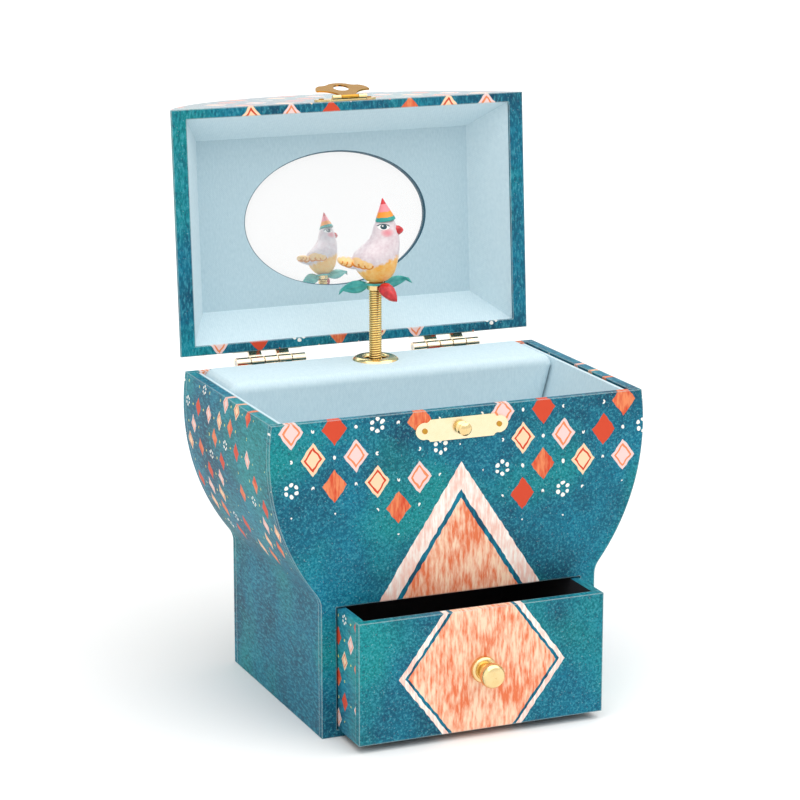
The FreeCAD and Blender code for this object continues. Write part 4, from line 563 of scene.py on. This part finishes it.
# CAD nodes that keep their shape get their finishes here
finishes = (
    (casePaper, ["front_panel"]),
    (backPaper, ["back_panel"]),
    (sidePaper, ["left_side_skin", "right_side_skin"]),
    (lidPaper, ["lid_front_panel", "lid_back_panel"]),
    (domePaper, ["lid_dome_skin"]),
    (rimPaper, ["lid_rim_frame"]),
    (drawerPaper, ["drawer_front"]),
    (drawerBoxPaper, ["drawer_sides", "drawer_back", "drawer_floor"]),
    (wallCloth, ["front_lining", "mechanism_cover"]),
    (sideCloth, ["left_lining", "right_lining"]),
    (floorCloth, ["compartment_floor"]),
    (lidCloth, ["lid_tray"]),
    (shadedWindowCloth, ["mirror_board"]),
    (mirrorGlass, ["mirror"]),
    (boardGrey, ["base_board", "bay_roof", "bay_guides"]),
    (brass, ["stem_grommet", "stem_socket", "clasp_stud", "hasp_plate", "hasp_pin", "drawer_knob"]),
    (brass, ["winding_key", "spring_barrel", "pinned_cylinder", "cylinder_wheel", "governor_wheel"]),
    (platedBrass, ["clasp_plate"]),
    (agedBrass, ["case_nails", "lid_nails", "hasp_leaf"]),
    (hingePlate, ["left_hinge_case_leaf", "right_hinge_case_leaf"]),
    (hingePlate, ["left_hinge_lid_leaf", "right_hinge_lid_leaf"]),
    (brightSteel, ["hinge_pins", "knob_screw", "movement_screws", "comb", "winding_arbor"]),
    (brightSteel, ["cylinder_spindle", "governor_pinion", "governor_worm"]),
    (castZinc, ["movement_bedplate", "governor_bracket"]),
    (acetal, ["air_brake"]),
)
for material, names in finishes:
    for name in names:
        mesh = nodes[name].data
        mesh.materials.clear()
        mesh.materials.append(material)


def newPiece(mesh, material, body=None, stands=None):
    piece = bpy.data.objects.new(mesh.name, mesh)
    bpy.context.scene.collection.objects.link(piece)
    mesh.materials.append(material)
    if body:
        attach(piece, body)
    if stands:
        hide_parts(stands)
    return piece


def roundTurns(count):
    return [2 * math.pi * corner / count for corner in range(count)]


def ringMesh(name, rings, closeStart=True, closeEnd=True, smooth=True):
    # Skins a list of rings of points, each with the same number of points
    mesh = bpy.data.meshes.new(name)
    build = bmesh.new()
    loops = [[build.verts.new(point) for point in ring] for ring in rings]
    for lower, upper in zip(loops, loops[1:]):
        for start in range(len(lower)):
            after = (start + 1) % len(lower)
            build.faces.new((lower[start], lower[after], upper[after], upper[start]))
    if closeStart:
        build.faces.new(list(reversed(loops[0])))
    if closeEnd:
        build.faces.new(loops[-1])
    bmesh.ops.recalc_face_normals(build, faces=build.faces)
    for face in build.faces:
        face.smooth = smooth and len(face.verts) == 4
    build.to_mesh(mesh)
    build.free()
    return mesh


# Coil stem: close-wound wire with a short upright leg at each end
coil = {
    "radius": 2.25, "wire": 0.48, "pitch": 1.0, "turns": 30, "start": 131.5, "bend": 1.2, "leg": 1.0,
    "steps": 28, "legSteps": 6, "sides": 10}


def coilPath():
    slope = math.atan2(coil["pitch"], 2 * math.pi * coil["radius"])
    path = []
    count = coil["turns"] * coil["steps"]
    for step in range(count + 1):
        angle = 2 * math.pi * step / coil["steps"]
        height = coil["pitch"] * step / coil["steps"]
        path.append(Vector((coil["radius"] * math.cos(angle), coil["radius"] * math.sin(angle), height)))
    lower, upper = [], []
    for step in range(1, coil["legSteps"] + 1):
        # The legs turn from the slope of the wire to upright on a small arc
        tilt = slope + (math.pi / 2 - slope) * step / coil["legSteps"]
        move = coil["bend"] * (math.pi / 2 - slope) / coil["legSteps"]
        along = Vector((0, math.cos(tilt), math.sin(tilt))) * move
        lower.append((lower[-1] if lower else path[0]) - along)
        upper.append((upper[-1] if upper else path[-1]) + along)
    lower.append(lower[-1] - Vector((0, 0, coil["leg"])))
    upper.append(upper[-1] + Vector((0, 0, coil["leg"])))
    return list(reversed(lower)) + path + upper


def sweepTube(path, radius, sides):
    rings = []
    for number, point in enumerate(path):
        before = path[max(number - 1, 0)]
        after = path[min(number + 1, len(path) - 1)]
        along = (after - before).normalized()
        outward = Vector((point.x, point.y, 0)).normalized()
        side = (outward - along * outward.dot(along)).normalized()
        over = along.cross(side)
        rings.append([
            point + (side * math.cos(turn) + over * math.sin(turn)) * radius
            for turn in roundTurns(sides)])
    return rings


toStem = Matrix.Translation((0, rest["stemY"] * mm, coil["start"] * mm)) @ Matrix.Scale(mm, 4)
coilTube = sweepTube(coilPath(), coil["wire"], coil["sides"])
coilRings = [[toStem @ point for point in ring] for ring in coilTube]
stemCoil = newPiece(ringMesh("stemCoil", coilRings), coilBrass, stands="stem_spring")
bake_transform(stemCoil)
print("coil stem made:", len(coilRings), "rings")


# Bird: hand-painted cast resin, satin
bird = {
    # Each station: height over the seat, forward place of its middle, half length; all in mm
    "stations": (
        (0.0, 0.3, 2.6), (0.9, 0.5, 4.6), (2.4, 0.6, 6.4), (4.4, 0.4, 7.9), (6.4, 0.1, 8.8),
        (8.4, -0.1, 9.5), (10.3, 0.0, 9.8), (12.3, 0.5, 9.5), (14.3, 1.7, 8.5), (16.3, 2.9, 7.4),
        (18.3, 3.8, 6.4), (20.3, 4.15, 5.7), (22.3, 4.1, 5.2), (24.1, 4.1, 4.7), (25.6, 4.2, 4.1),
        (26.4, 4.25, 3.6)),
    # The tail: reach behind the axis, half width, half height, height of its middle
    "tail": (
        (6.0, 2.9, 2.3, 7.6), (9.5, 3.3, 2.5, 8.1), (12.2, 3.6, 2.3, 8.7), (14.4, 3.2, 1.8, 9.2),
        (15.6, 2.2, 1.1, 9.5), (16.0, 1.0, 0.4, 9.6)),
    "slim": 0.86, "sides": 36, "tailSides": 24, "brush": 2.4,
    "white": "#e8dcde", "lilac": "#d3bdc3", "amber": "#f9aa36", "honey": "#fccb7c",
    "cheek": "#e8727f", "eyeDark": "#17414c", "eyeWhite": "#f8f6f2", "feather": "#e0851c",
    # Painted ovals: forward place and height of the middle, half length and half height
    "feathers": (
        ((-7.6, 9.2), (2.4, 2.2)), ((-5.2, 8.6), (2.2, 1.9)), ((-3.0, 8.2), (1.9, 1.5)),
        ((-11.4, 8.8), (1.9, 2.1)), ((-13.4, 9.2), (1.8, 1.9)), ((-15.2, 9.4), (1.6, 1.5))),
    "eye": (
        ((3.3, 24.0), (2.5, 1.1), "eyeWhite"), ((3.4, 24.1), (1.4, 1.0), "eyeDark"),
        ((3.0, 24.5), (0.35, 0.3), "eyeWhite")),
    "cheekSpot": ((4.9, 21.7), (2.8, 1.8)), "lash": ((3.3, 23.8), (2.8, 1.45)), "lashLow": 24.3,
    # The belly's edge: climb towards the breast, depth of the brush marks and the heights it fades between
    "bellyClimb": 0.37, "bellyBrush": 5.0, "bellyFade": (6.4, 4.8),
}


def figurePoint(x, y, z):
    return figureMatrix @ Vector((x * mm, y * mm, (rest["seatZ"] + z) * mm))


def makeBirdBody():
    rings = []
    for rise, forward, half in bird["stations"]:
        rings.append([
            figurePoint(forward + half * math.cos(turn), half * bird["slim"] * math.sin(turn), rise)
            for turn in roundTurns(bird["sides"])])
    return ringMesh("birdBody", rings)


def makeTail():
    rings = []
    for reach, width, height, middle in bird["tail"]:
        rings.append([
            figurePoint(-reach, width * math.cos(turn), middle + height * math.sin(turn))
            for turn in roundTurns(bird["tailSides"])])
    return ringMesh("birdTail", rings)


def birdPaint():
    material, tree, shader = newMaterial("hand-painted resin", 0.38, IOR=1.5)
    place = lengths(tree, "figure")
    parts = addNode(tree, "ShaderNodeSeparateXYZ", {0: place})
    x, z = parts.outputs[0], parts.outputs[2]
    brush = addNode(tree, "ShaderNodeTexNoise", {
        "Vector": place, "Scale": 1 / bird["brush"], "Detail": 4, "Roughness": 0.65})
    wash = addNode(tree, "ShaderNodeMapRange", {
        "Value": brush.outputs[0], "From Min": 0.35, "From Max": 0.7})
    colour = addNode(tree, "ShaderNodeMix", {
        0: wash.outputs[0], 6: linearColour(bird["white"]), 7: linearColour(bird["lilac"])},
        data_type="RGBA").outputs[2]
    # Amber belly with a brushed upper edge that climbs towards the breast
    climb = addNode(tree, "ShaderNodeMath", {
        0: x, 1: -bird["bellyClimb"], 2: z}, operation="MULTIPLY_ADD").outputs[0]
    ragged = addNode(tree, "ShaderNodeMath", {
        0: brush.outputs[0], 1: -bird["bellyBrush"], 2: climb}, operation="MULTIPLY_ADD").outputs[0]
    belly = addNode(tree, "ShaderNodeMapRange", {
        "Value": ragged, "From Min": bird["bellyFade"][0], "From Max": bird["bellyFade"][1]})
    amber = addNode(tree, "ShaderNodeMix", {
        0: wash.outputs[0], 6: linearColour(bird["honey"]), 7: linearColour(bird["amber"])},
        data_type="RGBA").outputs[2]
    colour = addNode(tree, "ShaderNodeMix", {
        0: belly.outputs[0], 6: colour, 7: amber}, data_type="RGBA").outputs[2]
    # Wing and tail feathers: amber crescents over honey
    for middle, size in bird["feathers"]:
        spread = ovalMask(tree, x, z, middle, size)
        patch = addNode(tree, "ShaderNodeMapRange", {
            "Value": spread, "From Min": 1.1, "From Max": 0.9, "To Max": 0.8})
        colour = addNode(tree, "ShaderNodeMix", {
            0: patch.outputs[0], 6: colour, 7: linearColour(bird["honey"])}, data_type="RGBA").outputs[2]
        low = addNode(tree, "ShaderNodeMath", {0: z, 1: middle[1] + 0.2}, operation="LESS_THAN").outputs[0]
        rim = addNode(tree, "ShaderNodeMath", {0: spread, 1: 0.85, 2: 0.32}, operation="COMPARE").outputs[0]
        crescent = addNode(tree, "ShaderNodeMath", {0: low, 1: rim}, operation="MULTIPLY").outputs[0]
        colour = addNode(tree, "ShaderNodeMix", {
            0: crescent, 6: colour, 7: linearColour(bird["feather"])}, data_type="RGBA").outputs[2]
    cheek = addNode(tree, "ShaderNodeMapRange", {
        "Value": ovalMask(tree, x, z, *bird["cheekSpot"]),
        "From Min": 1.2, "From Max": 0.0, "To Max": 0.75})
    colour = addNode(tree, "ShaderNodeMix", {
        0: cheek.outputs[0], 6: colour, 7: linearColour(bird["cheek"])}, data_type="RGBA").outputs[2]
    for middle, size, ink in bird["eye"]:
        inside = addNode(tree, "ShaderNodeMath", {
            0: ovalMask(tree, x, z, middle, size), 1: 1.0}, operation="LESS_THAN").outputs[0]
        colour = addNode(tree, "ShaderNodeMix", {
            0: inside, 6: colour, 7: linearColour(bird[ink])}, data_type="RGBA").outputs[2]
    # Lash line over the eye
    lash = addNode(tree, "ShaderNodeMath", {
        0: ovalMask(tree, x, z, *bird["lash"]), 1: 0.9, 2: 0.2}, operation="COMPARE").outputs[0]
    above = addNode(tree, "ShaderNodeMath", {0: z, 1: bird["lashLow"]}, operation="GREATER_THAN").outputs[0]
    line = addNode(tree, "ShaderNodeMath", {0: lash, 1: above}, operation="MULTIPLY").outputs[0]
    colour = addNode(tree, "ShaderNodeMix", {
        0: line, 6: colour, 7: linearColour(bird["eyeDark"])}, data_type="RGBA").outputs[2]
    tree.links.new(colour, shader.inputs["Base Color"])
    bump = addNode(tree, "ShaderNodeBump", {
        "Height": brush.outputs[0], "Strength": 0.15, "Distance": 0.2 * mm})
    tree.links.new(bump.outputs[0], shader.inputs["Normal"])
    return material


birdMaterial = birdPaint()
newPiece(makeBirdBody(), birdMaterial, "figure", "bird_body")
newPiece(makeTail(), birdMaterial, "figure")


# Cone hat: enamel bands from teal at the brim to red at the tip
hat = {
    "radius": 4.3, "height": 9.3, "forward": 4.3, "base": 26.5, "lean": -8.0, "sides": 36,
    # Share of the height and of the radius, from the rolled brim to the tip
    "profile": (
        (0.0, 0.9), (-0.02, 0.97), (0.0, 1.0), (0.04, 0.98), (0.2, 0.82), (0.5, 0.51), (0.8, 0.21),
        (0.95, 0.08), (0.99, 0.03)),
    "bands": ("#24998f", "#f39224", "#f28b93", "#cf2430"), "ends": (0.16, 0.4, 0.74),
    "waver": 0.6, "waverLength": 2.0}
hatLean = Matrix.Rotation(math.radians(hat["lean"]), 4, "Y")
hatMatrix = Matrix.Translation((hat["forward"], 0, hat["base"])) @ hatLean


def hatPaint():
    material, tree, shader = newMaterial("gloss enamel bands", 0.3, IOR=1.5)
    place = lengths(tree, "figure")
    wobble = addNode(tree, "ShaderNodeTexNoise", {
        "Vector": place, "Scale": 1 / hat["waverLength"], "Detail": 2})
    # Height along the leaning axis of the cone, from its brim
    axis = hatMatrix.to_3x3() @ Vector((0, 0, 1))
    along = addNode(tree, "ShaderNodeVectorMath", {
        0: place, 1: axis}, operation="DOT_PRODUCT").outputs["Value"]
    level = addNode(tree, "ShaderNodeMath", {
        0: wobble.outputs[0], 1: hat["waver"], 2: along}, operation="MULTIPLY_ADD").outputs[0]
    brim = axis.dot(hatMatrix.translation) + hat["waver"] / 2
    colour = linearColour(hat["bands"][0])
    for end, ink in zip(hat["ends"], hat["bands"][1:]):
        above = addNode(tree, "ShaderNodeMath", {
            0: level, 1: brim + hat["height"] * end}, operation="GREATER_THAN").outputs[0]
        colour = addNode(tree, "ShaderNodeMix", {
            0: above, 6: colour, 7: linearColour(ink)}, data_type="RGBA").outputs[2]
    tree.links.new(colour, shader.inputs["Base Color"])
    return material


hatRings = []
for share, swell in hat["profile"]:
    radius = hat["radius"] * swell
    hatRings.append([
        figurePoint(*(hatMatrix @ Vector((
            radius * math.cos(turn), radius * math.sin(turn), hat["height"] * share))))
        for turn in roundTurns(hat["sides"])])
newPiece(ringMesh("coneHat", hatRings), hatPaint(), "figure", "bird_hat")


# Beak, leaves and bud: gloss enamel, brushed on
def enamel(name, light, dark, grain):
    material, tree, shader = newMaterial(name, 0.28, IOR=1.5)
    place = lengths(tree, "figure")
    brush = addNode(tree, "ShaderNodeTexNoise", {"Vector": place, "Scale": 1 / grain, "Detail": 3})
    blend = addNode(tree, "ShaderNodeMapRange", {
        "Value": brush.outputs[0], "From Min": 0.35, "From Max": 0.65})
    tone = addNode(tree, "ShaderNodeMix", {
        0: blend.outputs[0], 6: linearColour(dark), 7: linearColour(light)}, data_type="RGBA")
    tree.links.new(tone.outputs[2], shader.inputs["Base Color"])
    return material


redEnamel = enamel("red gloss enamel", "#dc3034", "#b01a22", 2.2)
leafEnamel = enamel("teal gloss enamel", "#55beb6", "#319f9b", 3.0)
# Beak sections: forward reach and half width, mm
beak = {
    "rise": 22.1, "sides": 7,
    "sections": ((7.4, 1.7), (8.9, 2.1), (10.0, 2.0), (11.4, 1.0), (11.8, 0.3))}
beakRings = [
    [figurePoint(reach, half * math.cos(turn), beak["rise"] + half * math.sin(turn))
     for turn in roundTurns(beak["sides"])]
    for reach, half in beak["sections"]]
newPiece(ringMesh("cutBeak", beakRings, smooth=False), redEnamel, "figure", "bird_beak")


# Each leaf: turn about the stem, length, droop, roll towards the front
leaves = ((168.0, 12.4, 13.0, 62.0), (20.0, 12.3, -8.0, -55.0))
leaf = {
    "half": 3.3, "root": 3.0, "low": -1.0, "wall": 0.45, "arch": 0.4, "cup": 0.5, "rib": 0.22,
    "blunt": 0.06, "tip": 0.06, "steps": 16, "across": (-1, -0.6, -0.1, 0.0, 0.1, 0.6, 1)}


def makeLeaves():
    mesh = bpy.data.meshes.new("leafSpray")
    build = bmesh.new()
    for angle, length, droop, roll in leaves:
        tilt = Matrix.Rotation(math.radians(angle), 4, "Z")
        tilt = tilt @ Matrix.Translation((leaf["root"], 0, leaf["low"]))
        tilt = tilt @ Matrix.Rotation(math.radians(droop), 4, "Y")
        tilt = tilt @ Matrix.Rotation(math.radians(roll), 4, "X")
        rows = []
        for step in range(leaf["steps"] + 1):
            share = step / leaf["steps"]
            bulge = math.sin(math.pi * (leaf["blunt"] + (1 - leaf["blunt"]) * share) ** 0.9)
            half = max(leaf["half"] * bulge, leaf["tip"])
            row = []
            for across in leaf["across"]:
                height = leaf["arch"] * math.sin(math.pi * share) - leaf["cup"] * across * across * bulge
                height -= leaf["rib"] if across == 0 else 0
                point = tilt @ Vector((length * share, half * across, height))
                row.append(build.verts.new(figurePoint(*point)))
            rows.append(row)
        for first, second in zip(rows, rows[1:]):
            for start in range(len(first) - 1):
                build.faces.new((first[start], first[start + 1], second[start + 1], second[start]))
    bmesh.ops.recalc_face_normals(build, faces=build.faces)
    bmesh.ops.solidify(build, geom=build.faces[:], thickness=leaf["wall"] * mm)
    for face in build.faces:
        face.smooth = True
    build.to_mesh(mesh)
    build.free()
    return mesh


newPiece(makeLeaves(), leafEnamel, "figure", "leaf_collar")

# Collar section: radius and height over the seat, mm
collar = {"sides": 32, "section": ((3.55, -1.0), (4.3, -1.0), (4.6, -0.7), (4.4, -0.2), (3.55, 0.0))}
collarRings = [
    [figurePoint(radius * math.cos(turn), radius * math.sin(turn), height)
     for turn in roundTurns(collar["sides"])]
    for radius, height in collar["section"]]
collarMesh = ringMesh("collarRing", collarRings + collarRings[:1], False, False)
newPiece(collarMesh, leafEnamel, "figure")


bud = {
    "length": 11.0, "half": 3.2, "droop": 30.0, "turn": -50.0, "root": 3.9, "low": -0.9,
    "petals": 5, "crease": 0.15, "twist": 1.6, "sides": 40,
    # Share of the length and of the half width, from the stalk to the point
    "profile": (
        (0.0, 0.3), (0.06, 0.62), (0.18, 0.9), (0.34, 1.0), (0.5, 0.95), (0.66, 0.78), (0.82, 0.5),
        (0.94, 0.2), (1.0, 0.03))}


def makeBud():
    # Overlapping petals close to a point
    tilt = math.radians(bud["droop"])
    turnMatrix = Matrix.Rotation(math.radians(bud["turn"]), 4, "Z")
    along = turnMatrix @ Vector((math.cos(tilt), 0, -math.sin(tilt)))
    side = turnMatrix @ Vector((0, 1, 0))
    over = along.cross(side)
    root = turnMatrix @ Vector((bud["root"], 0, bud["low"]))
    rings = []
    for share, size in bud["profile"]:
        ring = []
        for turn in roundTurns(bud["sides"]):
            wave = math.sin(bud["petals"] / 2 * turn + bud["twist"] * share)
            petal = 1 - bud["crease"] * abs(wave)
            outward = side * math.cos(turn) + over * math.sin(turn)
            spot = root + along * bud["length"] * share + outward * bud["half"] * size * petal
            ring.append(figurePoint(*spot))
        rings.append(ring)
    return ringMesh("flowerBud", rings)


newPiece(makeBud(), redEnamel, "figure", "flower_bud")
print("bird, hat, leaves and bud made")


# CAD curves shade smoothly and their edges stay crisp
crispAngle = 28
for node in nodes.values():
    for polygon in node.data.polygons:
        polygon.use_smooth = True
    node.data.set_sharp_from_angle(angle=math.radians(crispAngle))


# Studio: white sweep, soft top light and a pale surround
studio = {
    "floor": "#fcfcfb", "surround": 0.54,
    "suns": {
        "softOverhead": {"power": 2.4, "softness": 90.0, "from": (0.16, -0.3, 1.0)},
        "leftFill": {"power": 0.35, "softness": 60.0, "from": (-1.0, -0.5, 0.5)}}}
world = bpy.data.worlds.new("studioSurround")
bpy.context.scene.world = world
world.use_nodes = True
worldTree = world.node_tree
# The surround is seen and mirrored at full white, and fills the shadows more softly
rays = addNode(worldTree, "ShaderNodeLightPath")
strength = addNode(worldTree, "ShaderNodeMapRange", {
    "Value": rays.outputs["Is Diffuse Ray"], "To Min": 1.0, "To Max": studio["surround"]})
worldTree.nodes["Background"].inputs["Color"].default_value = (1, 1, 1, 1)
worldTree.links.new(strength.outputs[0], worldTree.nodes["Background"].inputs["Strength"])
floorMesh = bpy.data.meshes.new("paleFloor")
floorMesh.from_pydata([(-4, -4, 0), (4, -4, 0), (4, 4, 0), (-4, 4, 0)], [], [(0, 1, 2, 3)])
paleFloor = bpy.data.objects.new("paleFloor", floorMesh)
bpy.context.scene.collection.objects.link(paleFloor)
floorPaint, _, floorShader = newMaterial("white paper sweep", 0.9)
floorShader.inputs["Base Color"].default_value = linearColour(studio["floor"])
floorMesh.materials.append(floorPaint)
for name, source in studio["suns"].items():
    lamp = bpy.data.lights.new(name, "SUN")
    lamp.energy = source["power"]
    lamp.angle = math.radians(source["softness"])
    light = bpy.data.objects.new(name, lamp)
    light.rotation_euler = (-Vector(source["from"])).to_track_quat("-Z", "Y").to_euler()
    bpy.context.scene.collection.objects.link(light)
bpy.context.scene.view_settings.view_transform = "Standard"

# Camera at the photograph's angle, fitted to the corners of the box
view = {
    "azimuth": -22.949, "elevation": 13.532, "distance": 1126.3, "target": (-4.58, 0, 122.02),
    "lens": 123.2, "sensor": 36.0}
turn, lift = math.radians(view["azimuth"]), math.radians(view["elevation"])
back = Vector((math.sin(turn) * math.cos(lift), -math.cos(turn) * math.cos(lift), math.sin(lift)))
lens = bpy.data.cameras.new("boxCamera")
lens.lens = view["lens"]
lens.sensor_width = view["sensor"]
camera = bpy.data.objects.new("boxCamera", lens)
camera.location = (Vector(view["target"]) + back * view["distance"]) * mm
camera.rotation_euler = (-back).to_track_quat("-Z", "Y").to_euler()
bpy.context.scene.collection.objects.link(camera)
bpy.context.scene.camera = camera
print("studio and camera set")
